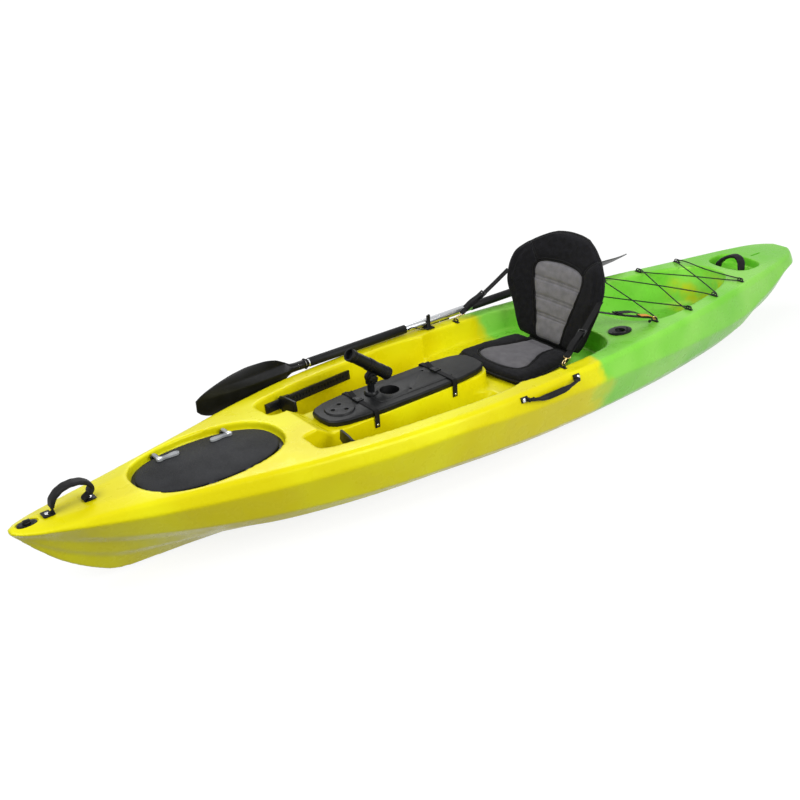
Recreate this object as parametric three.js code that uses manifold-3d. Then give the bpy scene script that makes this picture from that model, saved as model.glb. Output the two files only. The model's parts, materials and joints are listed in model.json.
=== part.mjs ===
// Fishing kayak of the sit-on-top kind, with its seat, hatch, pod, fittings and paddle.
// Millimetres. +X points to the bow, +Y to port and +Z up.
// The origin lies amidships on the underside of the keel, where the hull rests.

import * as THREE from 'three';
import { mergeVertices } from 'three/addons/utils/BufferGeometryUtils.js';
import Module from 'manifold-3d';

const wasm = await Module();
wasm.setup();

// Clearances and cuts shared by all pieces

const seatGap = 0.3; // between a piece and what carries it
const overrun = 20; // how far a cutter passes the face that it cuts
const weldStep = 1e-4; // vertices closer than this are one

// Hull: a hollow moulding

const hull = { length: 3660, halfBeam: 385, depth: 297, wall: 5, keelHalfWidth: 60, bowCrown: 9 };
const halfLength = hull.length / 2;

// Where things sit along the half length, -1 at the stern and 1 at the bow
const place_shares = {
  plug: 0.96885, bowHandle: 0.87213, hatch: 0.64153, footwellFront: 0.48306, railFront: 0.45355, pedal: 0.42077,
    podFront: 0.41311,
  railRear: 0.23825, frontScupper: 0.19235, paddleHalf: 0.36721, paddleJoint: -0.03333, rearScupper: -0.43716,
    tankRear: -0.74973,
  scoopFront: -0.76721, sternHandle: -0.79454, scoopRear: -0.85902, rudderSlot: -0.89617,
};

// Each pair is a place along the half length (-1 stern, 1 bow) and a share of the size it follows
const station_shares = [
  -1, -0.985, -0.955, -0.91, -0.85, -0.77, -0.69, -0.6, -0.5, -0.4, -0.3, -0.2, -0.1, 0, 0.1, 0.2, 0.3, 0.4,
  0.5, 0.58, 0.66, 0.74, 0.8, 0.85, 0.9, 0.94, 0.975, 1,
];
const beam_shares = [
  [-1, 0.14], [-0.98, 0.25], [-0.95, 0.335], [-0.7, 0.615], [-0.5, 0.79], [-0.3, 0.91], [-0.1, 0.98], [0.1, 1],
  [0.3, 0.935], [0.5, 0.77], [0.65, 0.59], [0.82, 0.37], [0.92, 0.235], [0.97, 0.15], [0.99, 0.095], [1, 0.04],
];
const rim_beam_shares = [
  [-1, 0.66], [-0.93, 0.78], [-0.69, 0.85], [-0.4, 0.9], [0, 0.92], [0.4, 0.92], [0.64, 0.87], [0.82, 0.8],
    [1, 0.7],
];
const rim_height_shares = [[-1, 0.899], [-0.7, 0.916], [-0.35, 0.945], [0, 0.981], [0.4, 1], [0.7, 0.987],
  [1, 0.975]];
const knuckle_height_shares = [
  [-1, 0.76], [-0.955, 0.77], [-0.91, 0.76], [-0.85, 0.66], [-0.78, 0.56], [-0.69, 0.485], [-0.49, 0.562],
    [-0.33, 0.63], [-0.19, 0.687], [0.04, 0.761],
  [0.24, 0.828], [0.57, 0.815], [0.77, 0.852], [0.945, 0.943], [1, 0.957],
];
const chine_beam_shares = [[-1, 0.86], [-0.5, 0.91], [0.4, 0.915], [0.6, 0.88], [0.77, 0.8], [0.86, 0.74],
  [1, 0.6]];
const chine_height_shares = [
  [-1, 0.69], [-0.955, 0.71], [-0.91, 0.64], [-0.85, 0.51], [-0.78, 0.43], [-0.69, 0.29], [-0.25, 0.28],
    [0, 0.32], [0.22, 0.387], [0.4, 0.411],
  [0.56, 0.444], [0.67, 0.488], [0.77, 0.569], [0.86, 0.68], [0.95, 0.87], [1, 0.95],
];
const bilge_beam_shares = [[-1, 0.6], [-0.69, 0.74], [-0.25, 0.8], [0.4, 0.8], [0.6, 0.73], [0.71, 0.63],
  [0.86, 0.5], [1, 0.4]];
const bilge_height_shares = [
  [-1, 0.62], [-0.955, 0.52], [-0.91, 0.4], [-0.85, 0.31], [-0.78, 0.26], [-0.69, 0.145], [-0.6, 0.12],
    [-0.4, 0.128],
  [-0.25, 0.148], [0, 0.185], [0.11, 0.222], [0.3, 0.273], [0.55, 0.29], [0.69, 0.38], [0.8, 0.49], [0.9, 0.67],
    [1, 0.948],
];
const keel_height_shares = [
  [-1, 0.57], [-0.984, 0.47], [-0.956, 0.3], [-0.918, 0.17], [-0.874, 0.067], [-0.8, 0.006], [-0.76, 0],
    [0.5, 0],
  [0.58, 0.01], [0.67, 0.03], [0.756, 0.055], [0.8, 0.065], [0.839, 0.095], [0.863, 0.16], [0.918, 0.385],
  [0.96, 0.64], [0.978, 0.775], [1, 0.945],
];
const crown_shares = [[-1, 0], [0.46, 0], [0.6, 0.6], [0.8, 1], [1, 0.6]];
const keel_width_shares = [[-1, 0.5], [-0.85, 0.7], [-0.6, 1], [0.3, 1], [0.45, 0.8], [0.6, 0.25], [0.7, 0.12],
  [1, 0.06]];
const keel_limit_share = 0.25; // the keel's flat never takes more of the half bottom than this
const channel_shares = [[0.4, 0.44], [0.66, 0.62]]; // the two moulded channels between keel and bilge
const shoulder_share = [0.42, 0.84]; // the round of the gunwale, between knuckle and rim
const hollow_shares = [-0.965, 0.925]; // where the hollow ends towards stern and bow

// Cockpit, pod, wells and the holes through the hull

const cockpit = { rearX: -452, frontX: 150, rimWidth: 56, seatFloorZ: 198, draft: 0.15, squareness: 5 };
const behindCockpit = { tankOffset: 152, flushOffset: 70 };
const footwell = {
  rearX: 58, frontX: halfLength * place_shares.footwellFront, floorZ: 62, heelRamp: 110, toeRamp: 72,
    fillet: 26, squareness: 8,
};
const foot_ramp_shares = { seatFloor: 0.1, fillet: 0.85 }; // how much of each ramp is run by those heights
const pod = {
  rearX: 36, frontX: halfLength * place_shares.podFront, halfWidth: 95, topZ: 259, sideSlope: 0.05,
    bowSlope: 92, spread: 30,
  squareness: 3.4,
};
const podAt = (share) => pod.rearX + (pod.frontX - pod.rearX) * share;
const pod_shares = { boss: 0.86944, panel: [0.22222, 0.68333], ports: [0.48472, 0.31389], rodHolder: 0.65556,
  straps: [0.74861, 0.26389] };
const podEnd = { troughRearInset: 60, troughFrontInset: 50, lidRearInset: 6, lidFrontInset: 8, cupOffset: 62 };
const trough = {
  rearX: pod.rearX + podEnd.troughRearInset, frontX: pod.frontX - podEnd.troughFrontInset, halfWidth: 60, floorZ: 108,
    wall: 38, squareness: 5,
};
const tankWell = {
  rearX: halfLength * place_shares.tankRear, frontX: cockpit.rearX - behindCockpit.tankOffset, rimWidth: 56,
    floorZ: 102, rearRamp: 70,
  frontRamp: 24, fillet: 24, squareness: 3,
};
const tank_ramp_share = 0.8; // how much of its ramps is run by the top of the fillet
const sternScoop = {
  rearX: halfLength * place_shares.scoopRear, frontX: halfLength * place_shares.scoopFront, halfWidth: 104,
    floorZ: 229, squareness: 3,
};
const rudderSlot = { x: halfLength * place_shares.rudderSlot, length: 64, halfWidth: 5, floorZ: 248 };
const scupper = { topRadius: 21, bottomRadius: 15, frontY: 172, rearY: 110, sides: 12 };
const plugSeat = { x: halfLength * place_shares.plug, halfLength: 35, halfWidth: 21, depth: 4 };

// Hatch: rim ring, seal, lid, two hinges and two turning latches

const hatch = {
  x: halfLength * place_shares.hatch, squareness: 2.3, facets: 36,
  recess: { halfLength: 264, halfWidth: 166, floorZ: 265 },
  mouth: { halfLength: 222, halfWidth: 114 },
  ring: { halfLength: 257, halfWidth: 159, thickness: 6 },
  seal: { width: 9, height: 2.4, inset: 6 },
  lid: { halfLength: 246, halfWidth: 141, thickness: 10, bevel: 6, bevelDrop: 3 },
};
const latchReach = { frontOffset: 125, rearOffset: 130 }; // from the hatch's middle
const latch_shares = { shoulder: 0.86 }; // where a grip's end starts to narrow
const hinge = { offset: 65, y: 150, plate: 1.8, plateLength: 34, plateDepth: 16, barrelRadius: 5, pinRadius: 2,
  pinPlay: 0.4,
  armWidth: 18, armThickness: 8, lugWidth: 6, sidePlay: 0.5, floorPlay: 0.6 };
const latch = { frontX: hatch.x + latchReach.frontOffset, rearX: hatch.x - latchReach.rearOffset, y: -96, bossRadius: 12,
  gripLength: 70, gripWidth: 19, thickness: 8, noseLength: 48,
  noseWidth: 14, screwRadius: 5, screwHeight: 2.4, strikeY: -137, strikeLength: 24, strikeDepth: 11,
    strikeSinkDepth: 2 };

// Drain plug in the bow

const plug = { baseHeight: 4, boreRadius: 9.4, stemRadius: 9, stemLength: 15, holeRadius: 11.6,
  collarRadius: 11, collarLength: 8,
  capRadius: 12.5, capHeight: 6, gripLength: 22, gripWidth: 6, gripHeight: 6, screwOffset: 24, screwRadius: 3,
    screwHeight: 1.4 };

// Carry handles: a padded webbing loop at each end, a moulded grip on each side

const webHandle = { width: 25, thickness: 3.2, footLength: 32, plateLength: 22, plateThickness: 2.4,
  screwRadius: 4.5,
  screwHeight: 2, sleeveWidth: 31, sleeveThickness: 10, sleevePlay: 0.6 };
const bowHandle = { rearX: halfLength * place_shares.bowHandle, spanLength: 94, rise: 71 };
const sternHandle = { x: halfLength * place_shares.sternHandle, halfSpan: 52, rise: 60, rake: 40 };
// Places along an arch: how far across its span and how far up its rise
const arch_shares = [[0, 0], [-0.02, 0.1], [-0.22, 0.28], [-0.32, 0.5], [-0.22, 0.75], [0.02, 0.94], [0.34, 1],
  [0.6, 0.95],
  [0.82, 0.8], [0.98, 0.56], [1.04, 0.3], [1.02, 0.1], [1, 0]];
const sleeve_share = [3, 9];
const stern_arch_shares = [[0, 0], [-0.02, 0.06], [-0.03, 0.22], [-0.02, 0.42], [0.05, 0.64], [0.16, 0.82],
  [0.32, 0.95], [0.5, 1], [0.68, 0.95], [0.84, 0.82],
  [0.95, 0.64], [1.02, 0.42], [1.03, 0.22], [1.02, 0.06], [1, 0]];
const stern_sleeve_share = [4, 10]; // the first and last of those places that the grip covers
const sideHandle = { frontX: 128, rearX: -104, axisY: 390, axisZ: 276, plateLength: 28, plateHeight: 20,
  plateThickness: 6,
  pinRadius: 2.5, pinPlay: 0.4, pinLength: 12, lugLength: 8, lugHeight: 12, hubRadius: 6, droop: 5, bulge: 5,
    gripRadius: 9.5,
  neckRadius: 5, screwRadius: 4, screwHeight: 2, screwRise: 0, sides: 8 };
// Along a side grip: place between the hubs, share of the droop, share between neck and grip radius
const grip_shares = [[0.012, 0, 0], [0.07, 0.3, 0], [0.16, 0.62, 0.05], [0.25, 0.86, 0.75], [0.36, 0.97, 1],
  [0.5, 1, 1], [0.64, 0.97, 1],
  [0.75, 0.86, 0.75], [0.84, 0.62, 0.05], [0.93, 0.3, 0], [0.988, 0, 0]];

// Pod lid with its cup holder, its two straps, and the rod holder that stands on it

const podLid = {
  rearX: pod.rearX + podEnd.lidRearInset, frontX: pod.frontX - podEnd.lidFrontInset, halfWidth: 97, thickness: 22,
    bevel: 5, squareness: 4,
};
const lidBoss = { x: podAt(pod_shares.boss), radius: 58, height: 6, holeRadius: 8, holeCircle: 27,
  holeDepth: 12, holes: 3, sides: 28 };
const lidPanel = { rearX: podAt(pod_shares.panel[0]), frontX: podAt(pod_shares.panel[1]), halfWidth: 68,
  height: 3, squareness: 8 };
const lidPort = { offsetY: 44, radius: 5.5, depth: 12 };
const cup = { x: podAt(pod_shares.rodHolder) - podEnd.cupOffset, radius: 36, wall: 3, depth: 84, sides: 28 };
const podStrap = { places: pod_shares.straps.map(podAt), width: 20, thickness: 2.2, endZ: 218, sideY: 100,
  buckleLength: 34, buckleWidth: 27,
  buckleHeight: 6, buckleY: -12, rivetRadius: 4.5, rivetHeight: 1.6, tailLength: 46, tailRise: 16 };
const rodHolder = { x: podAt(pod_shares.rodHolder), y: -24, baseRadius: 27, baseHeight: 10, postRadius: 13,
  spigotRadius: 7, spigotLength: 7, pivotZ: 346,
  discRadius: 20, discWidth: 14, earWidth: 6, earGap: 0.4, tubeRadius: 21.5, tubeBore: 18, rise: 38,
    rearReach: 66, frontReach: 134,
  tilt: 38, boltRadius: 4, boltPlay: 0.4, knobRadius: 15, knobWidth: 14, knobLobes: 6, lobeDepth: 2,
    slotHalfWidth: 6,
  slotLength: 46, lipRadius: 24, lipLength: 12, endWall: 3, sides: 24 };

// Flush rod holders behind the seat

const flush = { x: cockpit.rearX - behindCockpit.flushOffset, y: 204, tilt: 12, halfLength: 52, halfWidth: 36,
  thickness: 5, tubeRadius: 23, boreRadius: 20, depth: 150,
  floor: 4, holePlay: 0.8, screwRadius: 4, screwHeight: 1.8, screwPlaces: [[40, 0], [-40, 0]], squareness: 2.2,
    sides: 20 };

// Foot braces

const rail = { rearX: halfLength * place_shares.railRear, frontX: halfLength * place_shares.railFront,
  rearZ: 247, frontZ: 258, height: 34, thickness: 10, wallPlay: 1.5, toothWidth: 6, toothGap: 15,
  toothDepth: 3, toothHeight: 12, screwRadius: 5, screwHeight: 1.6, screwInset: 14 };
const rail_probe_shares = [0.25, 0.5, 0.75]; // where the wall's bulge is measured
const pedal = { x: halfLength * place_shares.pedal, reach: 84, height: 58, sole: 8, foot: 44, travel: 250,
  play: 0.5, clipThickness: 4, ribs: 4, ribHeight: 2, ribWidth: 5 };
// Corners of the sole: how far out along its reach, how far up its height
const sole_shares = [[0, -0.5], [0.35, -0.5], [1, -0.34], [1, 0.3], [0.35, 0.5], [0, 0.5]];
const gusset_share = 0.8; // of the sole's reach

// Seat: pan and folding back, padded, held by four straps

const seatPan = { rearX: -322, length: 324, halfWidth: 182, thickness: 36, crown: 6, drawIn: 34 };
const seatBack = { hingeX: -330, hingeZ: 228, rake: 15.5, length: 438, halfWidth: 252, thickness: 30,
  bolster: 12, drawIn: 36,
  channelDepth: 5, wing: 54 };
// Half width at heights up the back, and at places from the rear of the pan to its front
const back_width_shares = [[0, 0.64], [0.05, 0.7], [0.25, 0.82], [0.5, 0.98], [0.62, 1], [0.74, 0.93],
  [0.84, 0.78], [0.93, 0.6],
  [0.98, 0.46], [1, 0.36]];
// how far its sides come forward
const wing_shares = [[0, 0.15], [0.25, 0.55], [0.5, 1], [0.7, 0.95], [0.9, 0.4], [1, 0.1]];
const pan_width_shares = [[0, 0.72], [0.06, 0.84], [0.3, 0.93], [0.7, 1], [0.88, 1], [0.96, 0.95], [1, 0.88]];
// Across a cushion: share of the half width, and share of the thickness there
const cushion_shares = [[-1, 0.4], [-0.95, 0.78], [-0.85, 1], [-0.7, 1], [-0.58, 0.86], [-0.52, 0.7],
  [-0.42, 0.84], [-0.2, 0.9], [0, 0.91],
  [0.2, 0.9], [0.42, 0.84], [0.52, 0.7], [0.58, 0.86], [0.7, 1], [0.85, 1], [0.95, 0.78], [1, 0.4]];
const cushion_foot_shares = [0.93, 0.72, 0.45]; // points of the underside, which is drawn in from the sides
const cushion_end_share = 0.5; // and the ends to this share of the thickness
const pan_ring_shares = [0, 0.02, 0.06, 0.12, 0.2, 0.32, 0.45, 0.6, 0.75, 0.86, 0.93, 0.975, 1];
const back_ring_shares = [
  0, 0.02, 0.06, 0.13, 0.21, 0.23, 0.25, 0.31, 0.37, 0.39, 0.41, 0.47, 0.53, 0.55, 0.57, 0.62, 0.7, 0.78, 0.86,
    0.93, 0.975, 1,
];
const channel_places_share = [0.23, 0.39, 0.55]; // the quilting lines across the middle of the back
const panel_share = 0.5; // the quilted panel's share of the half width

const strap = { width: 25, thickness: 2, ringRadius: 8.2, ringWire: 1.6, sideGap: 0.5, ringDraw: 2.4,
  ringSides: 14 };
const strapEnds = { frontShare: 0.54, rearShare: 0.4, rearY: 150, rearOut: 2.5 };
const seatHem = { radius: 4, halfLength: 118, flap: 3, lap: 6 }; // the sewn hem that joins the back to the pan
const seatEye = { x: -116, y: 300 };

// Eyes along the tank well, and the elastic cord laced through them

const eye = { baseLength: 34, baseWidth: 12, baseThickness: 3, holeHalfWidth: 10, holeHeight: 9.4, bar: 3.4,
  thickness: 6 };
// Each row of eyes: how far aft along the tank well, and its share of the rim's half width
const eye_row_shares = [[0.125, 0.74432], [0.3763, 0.85552], [0.63151, 0.86158], [0.91275, 0.87779]];
const lacing = { radius: 2.5, sides: 6, lift: 5, reach: 12, run: 34, inward: 5, ballRadius: 6, endReach: 18 };
// The cord's way: the row of eyes and the side (1 port, -1 starboard), and which layer it runs in
const lacing_shares = [[0, 1, 1], [1, -1, 1], [2, 1, 1], [3, -1, 1], [3, 1, -1], [2, -1, -1], [1, 1, -1],
  [0, -1, -1]];

// Paddle, lying on the starboard gunwale

const paddleHalf = halfLength * place_shares.paddleHalf;
const paddleEnd = { gripInset: 50, ringInset: 38 }; // from a shaft's outer end
const paddle = { y: -344, z: 313.4, jointX: halfLength * place_shares.paddleJoint, halfLength: paddleHalf,
  shaftRadius: 15, shaftWall: 1.5, gripRadius: 17, bareHalf: 170,
  gripEnd: paddleHalf - paddleEnd.gripInset, ringAt: paddleHalf - paddleEnd.ringInset, ringRadius: 21, ringLength: 12,
    play: 0.4, sleeve: 90, sleeveWall: 2, feather: 60, sides: 16,
  buttonAt: 45, buttonRadius: 3.4, buttonHeight: 2.2, buttonDepth: 7, jointGap: 0.6, slotSteps: 5 };
const ring_taper_share = 0.75; // a drip ring's narrow end, of its radius
const blade = { length: 424, halfWidth: 83, thickness: 5, spine: 16, scoop: 16, spigotLength: 36 };
// the spine's reach across, and how much of the blade is a round neck
const blade_form_shares = { spineSpread: 1.8, neck: 0.1 };
// Along a blade: place, upper and lower half width, spine, scoop, each a share of its own size
const blade_shares = [[0, 0.193, 0.193, 1, 0], [0.06, 0.22, 0.2, 0.98, 0], [0.13, 0.42, 0.42, 0.86, 0.1],
  [0.22, 0.66, 0.7, 0.7, 0.35],
  [0.34, 0.78, 0.9, 0.54, 0.65], [0.48, 0.8, 1, 0.38, 0.9], [0.62, 0.73, 1, 0.24, 1],
    [0.76, 0.58, 0.97, 0.12, 0.95],
  [0.88, 0.38, 0.86, 0.04, 0.75], [0.96, 0.18, 0.68, 0, 0.55], [1, 0.03, 0.48, 0, 0.45]];
const keeper = { x: 4, length: 34, width: 46, baseThickness: 3, prong: 4, inboardRise: 34, ballRadius: 5,
  play: 0.5 };

// Materials

const finish = (color, roughness, metalness = 0) => new THREE.MeshStandardMaterial({ color, roughness,
  metalness });
const paint = {
  hull: finish(0xdcdc1e, 0.38),
  blackPlastic: finish(0x17171a, 0.5),
  greyPlastic: finish(0x6c6e70, 0.42),
  lidPlastic: finish(0x2c2d30, 0.62),
  rubber: finish(0x121212, 0.8),
  webbing: finish(0x141416, 0.85),
  mesh: finish(0x1b1b1d, 0.92),
  silver: finish(0xc6c8cb, 0.3, 1),
  cord: finish(0x141414, 0.7),
};

// Curves and small sums

const degrees = THREE.MathUtils.degToRad;

/** A smooth curve through [place, value] pairs that never overshoots them. */
function smoothCurve(pairs) {
  const last = pairs.length - 1;
  const steps = pairs.slice(1).map(([x, y], i) => (y - pairs[i][1]) / (x - pairs[i][0]));
  const slopes = pairs.map((_, i) => {
    if (i === 0 || i === last) return steps[Math.min(i, last - 1)];
    const [before, after] = [steps[i - 1], steps[i]];
    return before * after <= 0 ? 0 : (2 * before * after) / (before + after);
  });
  return (place) => {
    const x = THREE.MathUtils.clamp(place, pairs[0][0], pairs[last][0]);
    let i = 0;
    while (i < last - 1 && x > pairs[i + 1][0]) i += 1;
    const [[x0, y0], [x1, y1]] = [pairs[i], pairs[i + 1]];
    const width = x1 - x0;
    const t = (x - x0) / width;
    const near = y0 * (1 + 2 * t) + slopes[i] * width * t;
    const far = y1 * (3 - 2 * t) + slopes[i + 1] * width * (t - 1);
    return near * (1 - t) ** 2 + far * t ** 2;
  };
}

const beamShare = smoothCurve(beam_shares);
const rimBeamShare = smoothCurve(rim_beam_shares);
const rimHeightShare = smoothCurve(rim_height_shares);
const knuckleHeightShare = smoothCurve(knuckle_height_shares);
const chineBeamShare = smoothCurve(chine_beam_shares);
const chineHeightShare = smoothCurve(chine_height_shares);
const bilgeBeamShare = smoothCurve(bilge_beam_shares);
const bilgeHeightShare = smoothCurve(bilge_height_shares);
const keelHeightShare = smoothCurve(keel_height_shares);
const crownShare = smoothCurve(crown_shares);
const keelWidthShare = smoothCurve(keel_width_shares);
const backWidthShare = smoothCurve(back_width_shares);
const panWidthShare = smoothCurve(pan_width_shares);
const wingShare = smoothCurve(wing_shares);

const alongAt = (x) => x / (hull.length / 2);
const knuckleY = (x) => hull.halfBeam * beamShare(alongAt(x));
const knuckleZ = (x) => hull.depth * knuckleHeightShare(alongAt(x));
const rimY = (x) => knuckleY(x) * rimBeamShare(alongAt(x));
const rimZ = (x) => hull.depth * rimHeightShare(alongAt(x));
const deckZ = (x) => rimZ(x) + hull.bowCrown * crownShare(alongAt(x));
const deckSlope = (x) => Math.atan2(deckZ(x + overrun) - deckZ(x - overrun), overrun * 2);
const eyeRows = eye_row_shares.map(([aft, out]) => {
  const x = tankWell.frontX + (tankWell.rearX - tankWell.frontX) * aft;
  return [x, rimY(x) * out];
});
const podSideY = (z) => pod.halfWidth + (pod.topZ - z) * pod.sideSlope;

// From three.js shapes to solids and back

/** A closed solid from a three.js geometry whose faces point out. */
function solidFrom(geometry) {
  const bare = new THREE.BufferGeometry();
  bare.setAttribute('position', geometry.getAttribute('position'));
  bare.setIndex(geometry.getIndex());
  const merged = mergeVertices(bare, weldStep);
  const triVerts = Uint32Array.from(merged.getIndex().array);
  return new wasm.Manifold(new wasm.Mesh({ numProp: 3, vertProperties: merged.getAttribute('position').array,
    triVerts }));
}

/** The three.js geometry of a solid. */
function geometryFrom(solid) {
  const mesh = solid.getMesh();
  const geometry = new THREE.BufferGeometry();
  geometry.setAttribute('position', new THREE.BufferAttribute(Float32Array.from(mesh.vertProperties), 3));
  geometry.setIndex(Array.from(mesh.triVerts));
  geometry.computeVertexNormals();
  return geometry;
}

/** A geometry turned about its origin, then moved. */
function moved(geometry, place, turn = [0, 0, 0]) {
  const matrix = new THREE.Matrix4().makeRotationFromEuler(new THREE.Euler(...turn, 'XYZ'));
  return geometry.clone().applyMatrix4(matrix.setPosition(...place));
}

/** One geometry: the first solid, with some joined to it and some cut from it. */
function carved(base, joined = [], cut = []) {
  let solid = solidFrom(base);
  joined.forEach((piece) => { solid = solid.add(solidFrom(piece)); });
  cut.forEach((piece) => { solid = solid.subtract(solidFrom(piece)); });
  return geometryFrom(solid);
}

/** A closed body through rings of equally many points, ends capped about their middles. */
function loft(rings) {
  const count = rings[0].length;
  const points = rings.flat();
  const faces = [];
  for (let r = 0; r + 1 < rings.length; r += 1) {
    for (let i = 0; i < count; i += 1) {
      const [a, b] = [r * count + i, r * count + ((i + 1) % count)];
      faces.push(a, b, b + count, a, b + count, a + count);
    }
  }
  [[0, false], [rings.length - 1, true]].forEach(([r, flip]) => {
    const middle = points.length;
    const sum = rings[r].reduce((total, p) => total.map((v, k) => v + p[k]), [0, 0, 0]);
    points.push(sum.map((v) => v / count));
    for (let i = 0; i < count; i += 1) {
      const [a, b] = [r * count + i, r * count + ((i + 1) % count)];
      faces.push(middle, ...(flip ? [a, b] : [b, a]));
    }
  });
  const geometry = new THREE.BufferGeometry();
  geometry.setAttribute('position', new THREE.BufferAttribute(Float32Array.from(points.flat()), 3));
  geometry.setIndex(faces);
  return facingOut(geometry);
}

/** The geometry with its faces turned over if they point in. */
function facingOut(geometry) {
  const position = geometry.getAttribute('position');
  const index = geometry.getIndex().array;
  const [a, b, c] = [new THREE.Vector3(), new THREE.Vector3(), new THREE.Vector3()];
  let volume = 0;
  for (let i = 0; i < index.length; i += 3) {
    [a, b, c].forEach((corner, k) => corner.fromBufferAttribute(position, index[i + k]));
    volume += a.dot(b.cross(c));
  }
  if (volume < 0) geometry.setIndex(Array.from(index).reverse());
  return geometry;
}

/** A disc or rod along an axis, centred. */
function rod(radius, length, axis = 'z', sides = 16, endRadius = radius) {
  const geometry = new THREE.CylinderGeometry(endRadius, radius, length, sides);
  if (axis === 'z') geometry.rotateX(Math.PI / 2);
  if (axis === 'x') geometry.rotateZ(-Math.PI / 2);
  return geometry;
}

/** A block from its centre. */
const block = (x, y, z, place = [0, 0, 0]) => new THREE.BoxGeometry(x, y, z).translate(...place);

/** An extruded outline, its depth along +Z. */
function plate(shape, depth, curveSegments = 8) {
  return new THREE.ExtrudeGeometry(shape, { depth, bevelEnabled: false, curveSegments, steps: 1 });
}

/** A flat strap through points; side gives the direction of its width at each point. */
function ribbon(points, sides, width, thickness) {
  const centres = points.map((p) => new THREE.Vector3(...p));
  const rings = centres.map((centre, i) => {
    const ahead = centres[Math.min(i + 1, centres.length - 1)].clone().sub(centres[Math.max(i - 1,
      0)]).normalize();
    const across = new THREE.Vector3(...sides[Math.min(i, sides.length - 1)]);
    across.addScaledVector(ahead, -across.dot(ahead)).normalize();
    const up = new THREE.Vector3().crossVectors(ahead, across);
    return [[-1, -1], [1, -1], [1, 1], [-1, 1]].map(([w, t]) => centre.clone()
      .addScaledVector(across, (w * width) / 2).addScaledVector(up, (t * thickness) / 2).toArray());
  });
  return loft(rings);
}

// Round-cornered outlines

const spread_share = [-1, -0.985, -0.93, -0.82, -0.62, -0.33, 0, 0.33, 0.62, 0.82, 0.93, 0.985, 1];

/** Points of a round-cornered outline whose two long sides follow innerY(x) and outerY(x). */
function panOutline({ rearX, frontX, innerY, outerY, squareness }, grow = 0) {
  const middle = (rearX + frontX) / 2;
  const half = (frontX - rearX) / 2;
  const side = (share, sign) => {
    const bulge = (1 - Math.abs(share) ** squareness) ** (1 / squareness);
    const x = middle + half * share;
    const centre = (innerY(x) + outerY(x)) / 2;
    const reach = (outerY(x) - innerY(x)) / 2 + grow;
    return [middle + (half + grow) * share, centre + sign * reach * bulge];
  };
  return [...spread_share.map((u) => side(u, 1)), ...spread_share.slice(1,
    -1).reverse().map((u) => side(u, -1))];
}

/** A cutter for a moulded pan, through outlines at several levels; grow makes it the wall's far face. */
function panCutter(levels, grow = 0) {
  return loft(levels.map(({ z, ...outline }, i) => panOutline(outline, grow)
    .map(([x, y]) => [x, y, i === levels.length - 1 ? z - grow : z])));
}

/** Points of an oval between an ellipse and a rectangle. */
function ovalPoints({ halfLength, halfWidth }, squareness, count = 36) {
  return Array.from({ length: count }, (_, i) => {
    const angle = (i / count) * Math.PI * 2;
    const [c, s] = [Math.cos(angle), Math.sin(angle)];
    const reach = (Math.abs(c) ** squareness + Math.abs(s) ** squareness) ** (-1 / squareness);
    return new THREE.Vector2(halfLength * reach * c, halfWidth * reach * s);
  });
}

const grown = ({ halfLength, halfWidth }, by) => ({ halfLength: halfLength + by, halfWidth: halfWidth + by });

/** A flat ring or plate with an oval outline and, where given, an oval hole. */
function ovalPlate(outer, inner, depth, squareness, count) {
  const shape = new THREE.Shape(ovalPoints(outer, squareness, count));
  if (inner) shape.holes.push(new THREE.Path(ovalPoints(inner, squareness, count)));
  return plate(shape, depth);
}

// Hull

/** The outer section at a place along the hull, as a closed ring of points. */
function hullRing(along) {
  const x = (along * hull.length) / 2;
  const widest = hull.halfBeam * beamShare(along);
  const keelZ = hull.depth * keelHeightShare(along);
  const bilge = [widest * bilgeBeamShare(along), hull.depth * bilgeHeightShare(along)];
  const knuckle = [widest, hull.depth * knuckleHeightShare(along)];
  const rim = [widest * rimBeamShare(along), hull.depth * rimHeightShare(along)];
  const deck = rim[1] + hull.bowCrown * crownShare(along);
  const keelHalf = Math.min(hull.keelHalfWidth * keelWidthShare(along), bilge[0] * keel_limit_share);
  const half = [
    [keelHalf, keelZ],
    ...channel_shares.map(([out, up]) => [bilge[0] * out, keelZ + (bilge[1] - keelZ) * up]),
    bilge,
    [widest * chineBeamShare(along), hull.depth * chineHeightShare(along)],
    knuckle,
    [rim[0] + (knuckle[0] - rim[0]) * shoulder_share[0],
      knuckle[1] + (rim[1] - knuckle[1]) * shoulder_share[1]],
    rim,
    [rim[0] / 2, deck],
  ];
  return [
    [x, 0, keelZ],
    ...half.map(([y, z]) => [x, y, z]),
    [x, 0, deck],
    ...half.reverse().map(([y, z]) => [x, -y, z]),
  ];
}

/** A section drawn in by the wall's thickness. */
function insetRing(ring, inset) {
  return ring.map(([x, y, z], i) => {
    const before = ring[(i + ring.length - 1) % ring.length];
    const after = ring[(i + 1) % ring.length];
    const out = new THREE.Vector2(z - before[2], before[1] - y).normalize()
      .add(new THREE.Vector2(after[2] - z, y - after[1]).normalize());
    const stretch = Math.min((inset * 2) / out.lengthSq(), inset);
    return [x, y - out.x * stretch, z - out.y * stretch];
  });
}

const above = hull.depth + overrun;
const bothSides = (reach) => ({ innerY: (x) => -reach(x), outerY: reach });
const cockpitWallY = (x, z) => rimY(x) - cockpit.rimWidth - (hull.depth - z) * cockpit.draft;

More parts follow.
